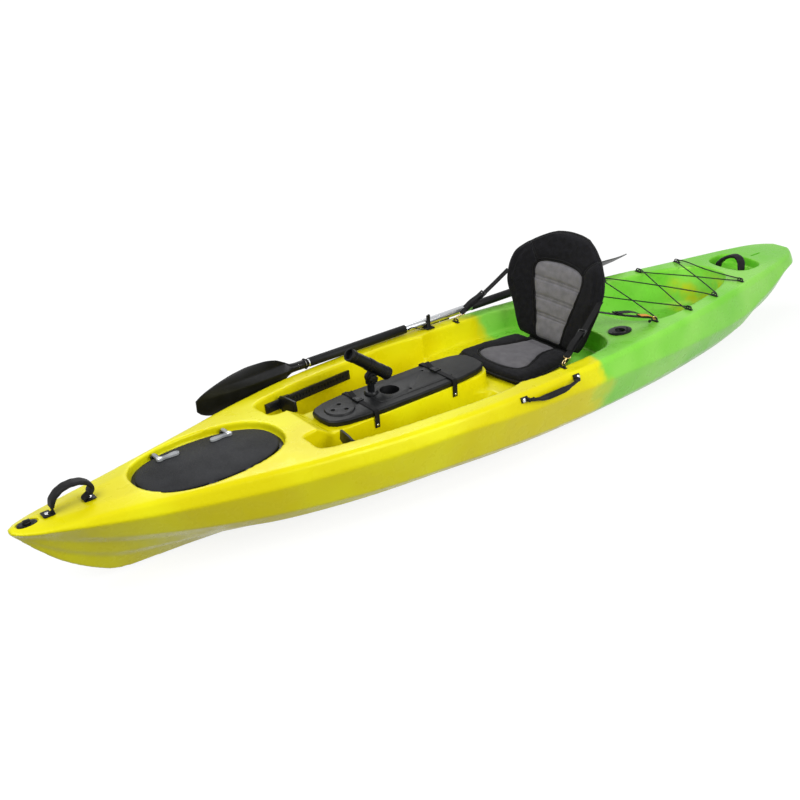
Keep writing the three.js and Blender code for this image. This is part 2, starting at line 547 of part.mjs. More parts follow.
/** Levels of the pans that are moulded into the deck, from the top down. */
function deckPans() {
  const seatLevel = (z) => ({ z, ...cockpit, ...bothSides((x) => cockpitWallY(x, z)) });
  const footLevel = (z, sign, slope, fillet = 0) => {
    const [inner, outer] = [(x) => podSideY(z) + fillet, (x) => cockpitWallY(x, z) - fillet];
    return {
      z, squareness: footwell.squareness,
      rearX: footwell.rearX + footwell.heelRamp * slope, frontX: footwell.frontX - footwell.toeRamp * slope,
      innerY: sign > 0 ? inner : (x) => -outer(x), outerY: sign > 0 ? outer : (x) => -inner(x),
    };
  };
  const tankLevel = (z, slope, fillet = 0) => ({
    z, rearX: tankWell.rearX + tankWell.rearRamp * slope, frontX: tankWell.frontX - tankWell.frontRamp * slope,
    squareness: tankWell.squareness,
    ...bothSides((x) => rimY(x) - tankWell.rimWidth - (hull.depth - z) * cockpit.draft - fillet),
  });
  const flat = (pan, z) => ({ ...pan, z, ...bothSides(() => pan.halfWidth) });
  const foot = (sign) => [
    footLevel(above, sign, 0), footLevel(cockpit.seatFloorZ, sign, foot_ramp_shares.seatFloor),
    footLevel(footwell.floorZ + footwell.fillet, sign, foot_ramp_shares.fillet),
    footLevel(footwell.floorZ, sign, 1, footwell.fillet / 2),
  ];
  return {
    seat: [seatLevel(above), seatLevel(cockpit.seatFloorZ)],
    feet: [foot(1), foot(-1)],
    tank: [tankLevel(above, 0), tankLevel(tankWell.floorZ + tankWell.fillet, tank_ramp_share),
      tankLevel(tankWell.floorZ, 1, tankWell.fillet / 2)],
    scoop: [flat(sternScoop, above), flat(sternScoop, sternScoop.floorZ)],
    trough: [flat(trough, above), flat(trough, trough.floorZ)],
  };
}

/** The pod between the footwells, as a block to be left standing. */
function podBlock(grow = 0) {
  const level = (z) => ({ z, rearX: pod.rearX, frontX: cockpit.frontX * 2, squareness: pod.squareness,
    ...bothSides(() => podSideY(z)) });
  return panCutter([level(above), level(cockpit.seatFloorZ - overrun)], grow);
}

/** What is cut away over the pod, sloping up to the foredeck. */
function podTopCut(drop = 0) {
  const level = (z, frontX) => ({ z, rearX: pod.rearX - overrun, frontX, squareness: footwell.squareness * 2,
    ...bothSides(() => pod.halfWidth + pod.spread) });
  return panCutter([level(above, pod.frontX + pod.bowSlope), level(pod.topZ - drop, pod.frontX)]);
}

/** Where a flush rod holder's slanted tube goes. */
function flushTube(side, radius, from, to) {
  const angle = degrees(flush.tilt);
  const middle = (from + to) / 2;
  return moved(rod(radius, to - from, 'z', flush.sides),
    [flush.x - middle * Math.sin(angle), side * flush.y, rimZ(flush.x) + middle * Math.cos(angle)],
      [0, -angle, 0]);
}

function makeHull() {
  const pans = deckPans();
  const [hollowRear, hollowFront] = hollow_shares;
  const within = station_shares.filter((along) => along > hollowRear && along < hollowFront);
  let body = solidFrom(loft(station_shares.map(hullRing)));
  let hollow = solidFrom(loft(within.map((along) => insetRing(hullRing(along), hull.wall))));
  const cut = (geometry) => { body = body.subtract(solidFrom(geometry)); };
  const keepSolid = (geometry) => { hollow = hollow.subtract(solidFrom(geometry)); };

  // The pans, and the space that each takes from the hollow
  const seatCut = solidFrom(panCutter(pans.seat)).subtract(solidFrom(podBlock()));
  body = body.subtract(seatCut);
  hollow = hollow.subtract(solidFrom(panCutter(pans.seat,
    hull.wall)).subtract(solidFrom(podBlock(-hull.wall))));
  [...pans.feet, pans.tank, pans.scoop].forEach((levels) => {
    cut(panCutter(levels));
    keepSolid(panCutter(levels, hull.wall));
  });
  cut(podTopCut());
  cut(panCutter(pans.trough));
  keepSolid(podTopCut(hull.wall));
  keepSolid(panCutter(pans.trough, trough.wall));

  // The hatch: a shallow seat for the ring, and the mouth into the hollow
  const { recess, mouth } = hatch;
  const deep = above - recess.floorZ;
  cut(ovalPlate(recess, null, deep, hatch.squareness, hatch.facets).translate(hatch.x, 0, recess.floorZ));
  keepSolid(ovalPlate(grown(recess, hull.wall), null, deep + hull.wall, hatch.squareness, hatch.facets)
    .translate(hatch.x, 0, recess.floorZ - hull.wall));

  // Scuppers: tapered tubes from the pans to the bottom
  const frontX = halfLength * place_shares.frontScupper;
  const rearX = halfLength * place_shares.rearScupper;
  const drains = [1, -1].flatMap((side) => [[frontX, side * scupper.frontY], [rearX, side * scupper.rearY]]);
  const tube = (extra, [x, y]) => rod(scupper.bottomRadius + extra, hull.depth, 'z', scupper.sides,
    scupper.topRadius + extra)
    .translate(x, y, hull.depth / 2 - overrun);
  drains.forEach((place) => keepSolid(tube(hull.wall, place)));
  body = body.subtract(hollow);
  drains.forEach((place) => cut(tube(0, place)));
  cut(ovalPlate(mouth, null, deep + overrun, hatch.squareness, hatch.facets).translate(hatch.x, 0,
    recess.floorZ - overrun));

  // The plug's flat seat and its hole, the rudder slot, and the holes for the flush rod holders
  cut(ovalPlate(plugSeat, null, overrun, hatch.squareness, hatch.facets / 2).translate(plugSeat.x, 0,
    plugSeatZ));
  cut(rod(plug.holeRadius, plug.stemLength * 2, 'z', 12).translate(plugSeat.x, 0, plugSeatZ));
  cut(block(rudderSlot.length, rudderSlot.halfWidth * 2, above - rudderSlot.floorZ,
    [rudderSlot.x, 0, (above + rudderSlot.floorZ) / 2]));
  [1, -1].forEach((side) => cut(flushTube(side, flush.tubeRadius + flush.holePlay, -overrun, overrun)));
  return part('hull', geometryFrom(body), paint.hull);
}

/** A named mesh. */
function part(name, geometry, material) {
  const mesh = new THREE.Mesh(geometry, material);
  mesh.name = name;
  return mesh;
}

const sideName = (side) => (side > 0 ? 'port' : 'starboard');

/** A geometry with its foot at the origin, set on the deck and following its slope. */
function onDeck(geometry, x, y) {
  const slope = deckSlope(x);
  return moved(geometry, [x, y, deckZ(x) + seatGap * 2], [0, -slope, 0]);
}

// Hatch

const ringTopZ = hatch.recess.floorZ + seatGap + hatch.ring.thickness;
const lidUnderZ = ringTopZ + seatGap + hatch.seal.height + seatGap;
const lidTopZ = lidUnderZ + hatch.lid.thickness;
const hingeZ = ringTopZ + seatGap + hinge.plate + hinge.floorPlay + hinge.barrelRadius;

function makeHatch() {
  const { ring, mouth, seal, squareness, facets } = hatch;
  const strikeHeight = lidTopZ - ringTopZ;
  const strikes = [latch.frontX, latch.rearX].map((x) => block(latch.strikeLength, latch.strikeDepth,
    strikeHeight + latch.strikeSinkDepth,
    [x, latch.strikeY, lidTopZ - (strikeHeight + latch.strikeSinkDepth) / 2]));
  const ringPart = part('hatch_ring', carved(
    ovalPlate(ring, mouth, ring.thickness, squareness, facets).translate(hatch.x, 0, ringTopZ - ring.thickness),
      strikes), paint.blackPlastic);
  const sealPart = part('hatch_seal', ovalPlate(grown(mouth, seal.inset + seal.width), grown(mouth, seal.inset),
    seal.height,
    squareness, facets).translate(hatch.x, 0, ringTopZ + seatGap), paint.rubber);

  // The lid: a bevelled plate with two arms that end in hinge barrels
  const lidRing = (inset, z) => ovalPoints(grown(hatch.lid, -inset), squareness,
    facets).map(({ x, y }) => [hatch.x + x, y, z]);
  const plateBody = loft([lidRing(0, lidUnderZ), lidRing(0, lidTopZ - hatch.lid.bevelDrop),
    lidRing(hatch.lid.bevel, lidTopZ)]);
  const hingeXs = [hatch.x + hinge.offset, hatch.x - hinge.offset];
  const armDepth = hinge.y - hatch.lid.halfWidth + hatch.lid.bevel * 2;
  const arms = hingeXs.flatMap((x) => [
    block(hinge.armWidth, armDepth, hinge.armThickness, [x, hinge.y - armDepth / 2, hingeZ]),
    rod(hinge.barrelRadius, hinge.armWidth, 'x', 12).translate(x, hinge.y, hingeZ),
  ]);
  const bores = hingeXs.map((x) => rod(hinge.pinRadius + hinge.pinPlay, hinge.armWidth * 2, 'x',
    12).translate(x, hinge.y, hingeZ));
  const lidPart = part('hatch_lid', carved(plateBody, arms, bores), paint.lidPlastic);

  const bases = hingeXs.map((x, i) => {
    const lugX = (hinge.armWidth + hinge.lugWidth) / 2 + hinge.sidePlay;
    const lugHeight = hingeZ + hinge.barrelRadius - ringTopZ - seatGap;
    const floor = block(hinge.plateLength, hinge.plateDepth, hinge.plate,
      [x, hinge.y, ringTopZ + seatGap + hinge.plate / 2]);
    const lugs = [1, -1].map((end) => block(hinge.lugWidth, hinge.barrelRadius * 2, lugHeight,
      [x + end * lugX, hinge.y, ringTopZ + seatGap + lugHeight / 2]));
    const pin = rod(hinge.pinRadius, lugX * 2, 'x', 12).translate(x, hinge.y, hingeZ);
    return part(`hatch_hinge_${i ? 'rear' : 'front'}`, carved(floor, [...lugs, pin]), paint.blackPlastic);
  });

  // Turning latches: a grip along the lid's edge, a nose out over the ring, and a screw on the pivot
  const levers = [[latch.frontX, -1, 'front'], [latch.rearX, 1, 'rear']].map(([x, run, name]) => {
    const boss = rod(latch.bossRadius, latch.thickness, 'z', 16).translate(0, 0, latch.thickness / 2);
    const gripShape = new THREE.Shape([
      [0, -latch.gripWidth / 2], [latch.gripLength * latch_shares.shoulder, -latch.gripWidth / 2],
        [latch.gripLength, -latch.gripWidth / 4],
      [latch.gripLength, latch.gripWidth / 4], [latch.gripLength * latch_shares.shoulder, latch.gripWidth / 2],
        [0, latch.gripWidth / 2],
    ].map(([a, b]) => new THREE.Vector2(run * a, run * b)));
    const nose = block(latch.noseWidth, latch.noseLength, latch.thickness,
      [0, -latch.noseLength / 2, latch.thickness / 2]);
    const screw = rod(latch.screwRadius, latch.screwHeight * 2, 'z', 12).translate(0, 0, latch.thickness);
    const geometry = carved(boss, [plate(gripShape, latch.thickness), nose, screw]);
    return part(`hatch_latch_${name}`, geometry.translate(x, latch.y, lidTopZ + seatGap), paint.greyPlastic);
  });
  return [ringPart, sealPart, lidPart, ...bases, ...levers];
}

// Drain plug

const plugSeatZ = Math.min(deckZ(plugSeat.x - plugSeat.halfLength),
  deckZ(plugSeat.x + plugSeat.halfLength)) - plugSeat.depth;
const plugFlangeTopZ = plugSeatZ + seatGap + plug.baseHeight;

function makePlug() {
  const flange = ovalPlate(grown(plugSeat, -plugSeat.depth), null, plug.baseHeight, hatch.squareness,
    20).translate(0, 0, seatGap);
  const collar = rod(plug.collarRadius, plug.collarLength, 'z', 16).translate(0, 0,
    seatGap + plug.baseHeight - plug.collarLength / 2);
  const screws = [1, -1].map((end) => rod(plug.screwRadius, plug.screwHeight * 2, 'z', 10)
    .translate(end * plug.screwOffset, 0, seatGap + plug.baseHeight));
  const bore = rod(plug.boreRadius, plug.collarLength * 4, 'z', 16);
  const base = carved(flange, [collar, ...screws], [bore]).translate(plugSeat.x, 0, plugSeatZ);
  const cap = rod(plug.capRadius, plug.capHeight, 'z', 18).translate(0, 0, seatGap + plug.capHeight / 2);
  const stem = rod(plug.stemRadius, plug.stemLength, 'z', 16).translate(0, 0,
    seatGap + plug.capHeight / 2 - plug.stemLength / 2);
  const grip = block(plug.gripLength, plug.gripWidth, plug.gripHeight,
    [0, 0, plug.capHeight + plug.gripHeight / 2]);
  const turned = carved(cap, [stem, grip]).translate(plugSeat.x, 0, plugFlangeTopZ);
  return [part('drain_plug_base', base, paint.blackPlastic), part('drain_plug', turned, paint.blackPlastic)];
}

// Webbing handles

/** A flat band lofted through points, its width along the given side. */
function band(points, side, width, thickness) {
  return ribbon(points, [side], width, thickness);
}

/** A webbing loop with screwed-down ends, and the grip that is threaded on it. */
function makeWebHandle(name, arch, side, feet, [first, last]) {
  const { thickness, width } = webHandle;
  const loop = [feet[0], ...arch, feet[1]];
  const screws = feet.map((foot, i) => {
    const end = i ? arch[arch.length - 1] : arch[0];
    const middle = foot.map((v, k) => (v + end[k]) / 2);
    const along = new THREE.Vector3(...foot).sub(new THREE.Vector3(...end)).normalize();
    const centre = new THREE.Vector3(...middle).addScaledVector(along,
      (webHandle.footLength - webHandle.plateLength) / 2).toArray();
    const coverHeight = thickness / 2 + webHandle.plateThickness;
    const cover = block(webHandle.plateLength, webHandle.sleeveWidth, coverHeight, [0, 0, coverHeight / 2]);
    const head = rod(webHandle.screwRadius, webHandle.screwHeight * 2, 'z', 10).translate(0, 0,
      thickness / 2 + webHandle.plateThickness);
    const turn = [0, 0, Math.atan2(along.y, along.x)];
    return [moved(cover, centre, turn), moved(head, centre, turn)];
  }).flat();
  const strapBody = carved(band(loop, side, width, thickness), screws);
  const covered = arch.slice(first, last + 1);
  const play = webHandle.sleevePlay * 2;
  const bore = arch.slice(first - 1, last + 2);
  const sleeve = carved(band(covered, side, webHandle.sleeveWidth, webHandle.sleeveThickness), [],
    [band(bore, side, width + play, thickness + play)]);
  return [part(`${name}_strap`, strapBody, paint.webbing), part(`${name}_grip`, sleeve, paint.rubber)];
}

function makeEndHandles() {
  const { rearX, rise } = bowHandle;
  const frontX = rearX + bowHandle.spanLength;
  const lift = seatGap * 2 + webHandle.thickness / 2;
  const bowZ = (x) => deckZ(x) + lift;
  const bowArch = arch_shares.map(([run, up]) => {
    const x = rearX + (frontX - rearX) * run;
    return [x, 0, bowZ(x) + rise * up];
  });
  const bowFeet = [[rearX - webHandle.footLength, 0],
    [frontX + webHandle.footLength, 0]].map(([x, y]) => [x, y, bowZ(x)]);
  const { halfSpan, rake } = sternHandle;
  const floorZ = sternScoop.floorZ + lift;
  const sternArch = stern_arch_shares.map(([run, up]) => [sternHandle.x - rake * up * up,
    halfSpan * (run * 2 - 1), floorZ + sternHandle.rise * up]);
  const sternFeet = [-1, 1].map((side) => [sternHandle.x, side * (halfSpan + webHandle.footLength), floorZ]);
  return [
    ...makeWebHandle('bow_handle', bowArch, [0, 1, 0], bowFeet, sleeve_share),
    ...makeWebHandle('stern_handle', sternArch, [1, 0, 0], sternFeet, stern_sleeve_share),
  ];
}

// Side handles

/** A point on the hull's side between shoulder and knuckle at a height, and the slope of that face. */
function sideFace(x, z) {
  const [rim, knuckle] = [[rimY(x), rimZ(x)], [knuckleY(x), knuckleZ(x)]];
  const shoulder = [rim[0] + (knuckle[0] - rim[0]) * shoulder_share[0],
    knuckle[1] + (rim[1] - knuckle[1]) * shoulder_share[1]];
  const share = (z - knuckle[1]) / (shoulder[1] - knuckle[1]);
  return { y: knuckle[0] + (shoulder[0] - knuckle[0]) * share,
    lean: Math.atan2(knuckle[0] - shoulder[0], shoulder[1] - knuckle[1]) };
}

function makeSideHandles() {
  const h = sideHandle;
  const span = h.frontX - h.rearX;
  return [1, -1].flatMap((side) => {
    const plates = [[h.frontX, -1, 'front'], [h.rearX, 1, 'rear']].map(([x, inward, name]) => {
      const { y, lean } = sideFace(x, h.axisZ);
      const plateX = x - inward * (h.plateLength / 2);
      const onFace = (geometry) => moved(geometry, [0, y + seatGap * 4 + h.plateThickness / 2, h.axisZ],
        [lean, 0, 0]);
      const flatPlate = onFace(block(h.plateLength, h.plateThickness, h.plateHeight, [plateX, 0, 0]));
      const reach = h.axisY - y;
      const lug = block(h.lugLength, reach, h.lugHeight,
        [x - inward * (h.lugLength / 2), y + reach / 2 + h.plateThickness / 2, h.axisZ]);
      const pin = rod(h.pinRadius, h.pinLength, 'x',
        10).translate(x + inward * (h.pinLength / 2 - h.lugLength / 4), h.axisY, h.axisZ);
      const head = onFace(rod(h.screwRadius, h.screwHeight * 2, 'y', 10)
        .translate(plateX - (inward * h.lugLength) / 2, h.plateThickness / 2, h.screwRise));
      const geometry = carved(flatPlate, [lug, pin, head]);
      return part(`side_handle_plate_${name}_${sideName(side)}`, side > 0 ? geometry : mirrored(geometry),
        paint.blackPlastic);
    });

    // The grip: a hub on each pin, thin necks and a thick middle that hangs below them
    const hubPlay = h.pinPlay;
    const curve = grip_shares.map(([run, down, fat]) => ({
      centre: [h.rearX + span * run, h.axisY + h.bulge * down, h.axisZ - h.droop * down],
      radius: h.neckRadius + (h.gripRadius - h.neckRadius) * fat,
    }));
    const rings = curve.map(({ centre: [x, y, z], radius }) => Array.from({ length: h.sides }, (_, i) => {
      const angle = (i / h.sides) * Math.PI * 2;
      return [x, y + radius * Math.cos(angle), z + radius * Math.sin(angle)];
    }));
    const hubs = [h.frontX, h.rearX].map((x, i) => {
      const inward = i ? 1 : -1;
      const length = h.pinLength + h.neckRadius;
      return rod(h.hubRadius, length, 'x', 12).translate(x + inward * (length / 2 + hubPlay), h.axisY, h.axisZ);
    });
    const bores = [h.frontX, h.rearX].map((x) => rod(h.pinRadius + hubPlay, (h.pinLength + hubPlay) * 2, 'x',
      10).translate(x, h.axisY, h.axisZ));
    const grip = carved(loft(rings), hubs, bores);
    return [...plates, part(`side_handle_grip_${sideName(side)}`, side > 0 ? grip : mirrored(grip),
      paint.rubber)];
  });
}

/** The geometry mirrored to starboard. */
function mirrored(geometry) {
  const copy = geometry.clone().scale(1, -1, 1);
  copy.setIndex(Array.from(copy.getIndex().array).reverse());
  copy.computeVertexNormals();
  return copy;
}

// Pod lid and rod holder

const podLidTopZ = pod.topZ + seatGap * 2 + podLid.thickness;

function makePodLid() {
  const outline = (inset, z) => panOutline({ ...podLid, ...bothSides(() => podLid.halfWidth) },
    -inset).map(([x, y]) => [x, y, z]);
  const body = loft([
    outline(podLid.bevel / 2, podLidTopZ - podLid.thickness), outline(0, podLidTopZ - podLid.thickness / 2),
      outline(0, podLidTopZ - podLid.bevel),
    outline(podLid.bevel, podLidTopZ),
  ]);
  const boss = rod(lidBoss.radius, lidBoss.height * 2, 'z', lidBoss.sides,
    lidBoss.radius - lidBoss.height).translate(lidBoss.x, 0, podLidTopZ);
  const panelOutline = (inset, z) => panOutline({ ...lidPanel, ...bothSides(() => lidPanel.halfWidth) },
    -inset).map(([x, y]) => [x, y, z]);
  const panel = loft([panelOutline(0, podLidTopZ - lidPanel.height),
    panelOutline(lidPanel.height, podLidTopZ + lidPanel.height)]);
  const cupTube = rod(cup.radius + cup.wall, cup.depth, 'z', cup.sides).translate(cup.x, 0,
    podLidTopZ - cup.depth / 2);
  const cupBore = rod(cup.radius, cup.depth, 'z', cup.sides).translate(cup.x, 0,
    podLidTopZ - cup.depth / 2 + cup.wall);
  const holes = Array.from({ length: lidBoss.holes }, (_, i) => {
    const angle = (i / lidBoss.holes) * Math.PI * 2;
    return rod(lidBoss.holeRadius, lidBoss.holeDepth * 2, 'z', 14)
      .translate(lidBoss.x + lidBoss.holeCircle * Math.cos(angle), lidBoss.holeCircle * Math.sin(angle),
        podLidTopZ + lidBoss.height);
  });
  const ports = pod_shares.ports.map((share, i) => rod(lidPort.radius, lidPort.depth * 2, 'z', 12)
    .translate(podAt(share), i ? -lidPort.offsetY : lidPort.offsetY, podLidTopZ + lidPanel.height));
  const mesh = part('pod_lid', carved(body, [boss, panel, cupTube], [cupBore, ...holes, ...ports]),
    paint.lidPlastic);

  const straps = podStrap.places.map((x, i) => {
    const overPanel = x < lidPanel.frontX && x > lidPanel.rearX ? lidPanel.height : 0;
    const topZ = podLidTopZ + overPanel + seatGap + podStrap.thickness / 2;
    const corner = podStrap.sideY;
    const way = [
      [x, corner, podStrap.endZ], [x, corner, podLidTopZ - podLid.bevel],
        [x, podLid.halfWidth - podLid.bevel / 2, topZ],
      [x, -podLid.halfWidth + podLid.bevel / 2, topZ], [x, -corner, podLidTopZ - podLid.bevel],
        [x, -corner, podStrap.endZ],
    ];
    const buckle = block(podStrap.buckleWidth, podStrap.buckleLength, podStrap.buckleHeight,
      [x, podStrap.buckleY, topZ + podStrap.buckleHeight / 2]);
    const rivets = [1, -1].map((side) => rod(podStrap.rivetRadius, podStrap.rivetHeight * 2, 'y', 10)
      .translate(x, side * (corner + podStrap.thickness / 2), podStrap.endZ + podStrap.width / 2));
    const tail = ribbon([
      [x, podStrap.buckleY, topZ + podStrap.buckleHeight / 2],
        [x, podStrap.buckleY - podStrap.tailLength / 2, topZ + podStrap.buckleHeight],
      [x, podStrap.buckleY - podStrap.tailLength, topZ + podStrap.tailRise],
    ], [[1, 0, 0]], podStrap.width, podStrap.thickness);
    return part(`pod_strap_${i ? 'rear' : 'front'}`,
      carved(ribbon(way, [[1, 0, 0]], podStrap.width, podStrap.thickness), [buckle, tail, ...rivets]),
      paint.webbing);
  });
  return [mesh, ...straps];
}

function makeRodHolder() {
  const r = rodHolder;
  const floorZ = podLidTopZ + lidPanel.height + seatGap;
  const baseTopZ = floorZ + r.baseHeight;
  const base = carved(
    rod(r.baseRadius, r.baseHeight, 'z', r.sides, r.baseRadius - r.baseHeight / 2).translate(r.x, r.y,
      floorZ + r.baseHeight / 2), [],
    [rod(r.spigotRadius + seatGap, r.spigotLength * 2, 'z', 16).translate(r.x, r.y, baseTopZ)],
  );

  // The post turns in the base and carries two ears with the tube's disc between them
  const postLow = baseTopZ + seatGap;
  const clear = r.discRadius + r.earGap * 2;
  const postTop = r.pivotZ - clear;
  const post = rod(r.postRadius, postTop - postLow, 'z', 16).translate(r.x, r.y, (postTop + postLow) / 2);
  const spigot = rod(r.spigotRadius, r.spigotLength, 'z', 16).translate(r.x, r.y,
    postLow - r.spigotLength / 2 + seatGap);
  const bridge = block(r.postRadius * 2, r.discWidth + (r.earWidth + r.earGap) * 2, r.earWidth,
    [r.x, r.y, postTop - r.earWidth / 2]);
  const earY = r.discWidth / 2 + r.earGap + r.earWidth / 2;
  const ears = [1, -1].flatMap((side) => [
    rod(r.discRadius - r.earWidth / 2, r.earWidth, 'y', 18).translate(r.x, r.y + side * earY, r.pivotZ),
    block(r.postRadius * 2, r.earWidth, clear + r.earWidth,
      [r.x, r.y + side * earY, r.pivotZ - (clear + r.earWidth) / 2]),
  ]);
  const boltHole = rod(r.boltRadius + r.boltPlay, r.discWidth * 4, 'y', 12).translate(r.x, r.y, r.pivotZ);
  const postPart = carved(post, [spigot, bridge, ...ears], [boltHole]);

  // The tube: bored from the front, slotted at the rear, on a disc at the pivot
  const length = r.rearReach + r.frontReach;
  const middle = (r.frontReach - r.rearReach) / 2;
  const sleeveRod = rod(r.tubeRadius, length, 'x', r.sides).translate(middle, 0, r.rise);
  const lip = rod(r.lipRadius, r.lipLength, 'x', r.sides).translate(r.frontReach - r.lipLength / 2, 0, r.rise);
  const rearLip = rod(r.lipRadius, r.lipLength, 'x', r.sides).translate(-r.rearReach + r.lipLength / 2, 0,
    r.rise);
  const disc = rod(r.discRadius, r.discWidth, 'y', 20);
  const web = block(r.discRadius * 2, r.discWidth, r.rise, [0, 0, r.rise / 2]);
  const bore = rod(r.tubeBore, length, 'x', r.sides).translate(middle + r.endWall, 0, r.rise);
  const slot = block(r.slotLength * 2, r.slotHalfWidth * 2, r.tubeRadius * 2,
    [r.frontReach, 0, r.rise + r.tubeRadius]);
  const bolt = rod(r.boltRadius + r.boltPlay, r.discWidth * 2, 'y', 12);
  const tube = carved(sleeveRod, [lip, rearLip, disc, web], [bore, slot, bolt]);
  const tubeSet = moved(tube, [r.x, r.y, r.pivotZ], [0, -degrees(r.tilt), 0]);

  // The clamping knob, one piece with its bolt
  const knobInner = r.discWidth / 2 + r.earGap + r.earWidth + seatGap;
  const lobes = Array.from({ length: r.knobLobes * 4 }, (_, i) => {
    const angle = (i / (r.knobLobes * 4)) * Math.PI * 2;
    const reach = r.knobRadius - (i % 4 < 2 ? 0 : r.lobeDepth);
    return new THREE.Vector2(reach * Math.cos(angle), reach * Math.sin(angle));
  });
  const knobBody = plate(new THREE.Shape(lobes), r.knobWidth).rotateX(-Math.PI / 2).translate(0, knobInner, 0);
  const boltLength = knobInner + r.discWidth / 2 + r.earWidth;
  const boltRod = rod(r.boltRadius, boltLength, 'y', 12).translate(0, knobInner - boltLength / 2 + seatGap, 0);
  const knob = carved(knobBody, [boltRod]).translate(r.x, r.y, r.pivotZ);
  return [
    part('rod_holder_base', base, paint.blackPlastic), part('rod_holder_post', postPart, paint.blackPlastic),
    part('rod_holder_tube', tubeSet, paint.blackPlastic), part('rod_holder_knob', knob, paint.blackPlastic),
  ];
}

function makeFlushHolders() {
  return [1, -1].map((side) => {
    const f = flush;
    const flange = onDeck(ovalPlate(f, null, f.thickness, f.squareness, 24), f.x, side * f.y);
    const screws = f.screwPlaces.map(([x, y]) => onDeck(rod(f.screwRadius, f.screwHeight * 2, 'z',
      10).translate(x, y, f.thickness), f.x, side * f.y));
    const geometry = carved(flange, [flushTube(side, f.tubeRadius, -f.depth, f.thickness / 2), ...screws],
      [flushTube(side, f.boreRadius, -f.depth + f.floor, overrun * 2)]);
    return part(`flush_rod_holder_${sideName(side)}`, geometry, paint.blackPlastic);
  });
}

// Foot braces

/** Where the outer wall of the port footwell is, rounded ends included. */
function footWallY(x, z) {
  const middle = (footwell.rearX + footwell.frontX) / 2;
  const reach = Math.abs(x - middle) / ((footwell.frontX - footwell.rearX) / 2);
  const bulge = (1 - reach ** footwell.squareness) ** (1 / footwell.squareness);
  const [inner, outer] = [podSideY(z), cockpitWallY(x, z)];
  return (inner + outer) / 2 + ((outer - inner) / 2) * bulge;
}

/** The frame of a foot rail: its local X runs forward along the wall, its local Y into the well. */
function railFrame() {
  const rear = new THREE.Vector3(rail.rearX, footWallY(rail.rearX, rail.rearZ), rail.rearZ);
  const front = new THREE.Vector3(rail.frontX, footWallY(rail.frontX, rail.frontZ), rail.frontZ);
  const bow = Math.max(...rail_probe_shares.map((share) => {
    const x = rail.rearX + (rail.frontX - rail.rearX) * share;
    const straight = rear.y + (front.y - rear.y) * share;
    return straight - footWallY(x, (rail.rearZ + rail.frontZ) / 2);
  }), 0);
  const along = front.clone().sub(rear);
  const length = along.length();
  along.normalize();
  const lean = new THREE.Vector3(0, -1, cockpit.draft).normalize();
  const inward = lean.addScaledVector(along, -lean.dot(along)).normalize();
  const up = new THREE.Vector3().crossVectors(along, inward).normalize();
  const matrix = new THREE.Matrix4().makeBasis(along, inward, up);
  return { matrix: matrix.setPosition(rear.addScaledVector(inward, rail.wallPlay + bow)), length, along };
}

const railAt = railFrame();

function makeFootBraces() {
  const { matrix, length } = railAt;
  const count = Math.floor((length - rail.screwInset * 4) / rail.toothGap);
  const bar = block(length, rail.thickness, rail.height, [length / 2, rail.thickness / 2, 0]);
  const pockets = Array.from({ length: count }, (_, i) => block(rail.toothWidth, rail.toothDepth * 2,
    rail.toothHeight,
    [rail.screwInset * 2 + rail.toothGap * (i + 0.5), rail.thickness, 0]));
  const screws = [rail.screwInset, length - rail.screwInset].map((x) => rod(rail.screwRadius,
    rail.screwHeight * 2, 'y', 10)
    .translate(x, rail.thickness, 0));
  const railBody = carved(bar, screws, pockets).applyMatrix4(matrix);

  // The pedal: a clip round the rail, and a ribbed sole that stands out across the well
  const at = (pedal.x - rail.rearX) / (rail.frontX - rail.rearX) * length;
  const inner = rail.height / 2 + pedal.play;
  const outer = inner + pedal.clipThickness;
  const face = rail.thickness + pedal.play;
  const clip = block(pedal.foot, pedal.clipThickness, outer * 2,
    [at - pedal.foot / 2, face + pedal.clipThickness / 2, 0]);
  const lips = [1, -1].map((end) => block(pedal.foot, face, pedal.clipThickness,
    [at - pedal.foot / 2, pedal.play + face / 2 + pedal.clipThickness / 2,
      end * (inner + pedal.clipThickness / 2)]));
  const soleShape = new THREE.Shape(sole_shares.map(([out, up]) => new THREE.Vector2(face + pedal.reach * out,
    pedal.height * up)));
  const upright = new THREE.Matrix4().makeBasis(new THREE.Vector3(0, 1, 0), new THREE.Vector3(0, 0, 1),
    new THREE.Vector3(1, 0, 0));
  const sole = plate(soleShape, pedal.sole).applyMatrix4(upright).translate(at - pedal.sole, 0, 0);
  const gusset = plate(new THREE.Shape([[0, 0], [pedal.foot - pedal.sole, 0],
    [pedal.foot - pedal.sole, pedal.reach * gusset_share], [0, pedal.clipThickness]]
    .map(([x, y]) => new THREE.Vector2(x, face + pedal.clipThickness / 2 + y))), pedal.clipThickness)
    .translate(at - pedal.foot, 0, -pedal.clipThickness / 2);
  const ribs = Array.from({ length: pedal.ribs }, (_, i) => block(pedal.ribHeight * 2, pedal.ribWidth,
    pedal.height / 2,
    [at - pedal.sole, face + pedal.reach * ((i + 1) / (pedal.ribs + 1)), 0]));
  const pedalBody = carved(clip, [...lips, sole, gusset, ...ribs]).applyMatrix4(matrix);
  return [1, -1].flatMap((side) => [
    part(`foot_rail_${sideName(side)}`, side > 0 ? railBody : mirrored(railBody), paint.blackPlastic),
    part(`foot_pedal_${sideName(side)}`, side > 0 ? pedalBody : mirrored(pedalBody), paint.blackPlastic),
  ]);
}

// Seat

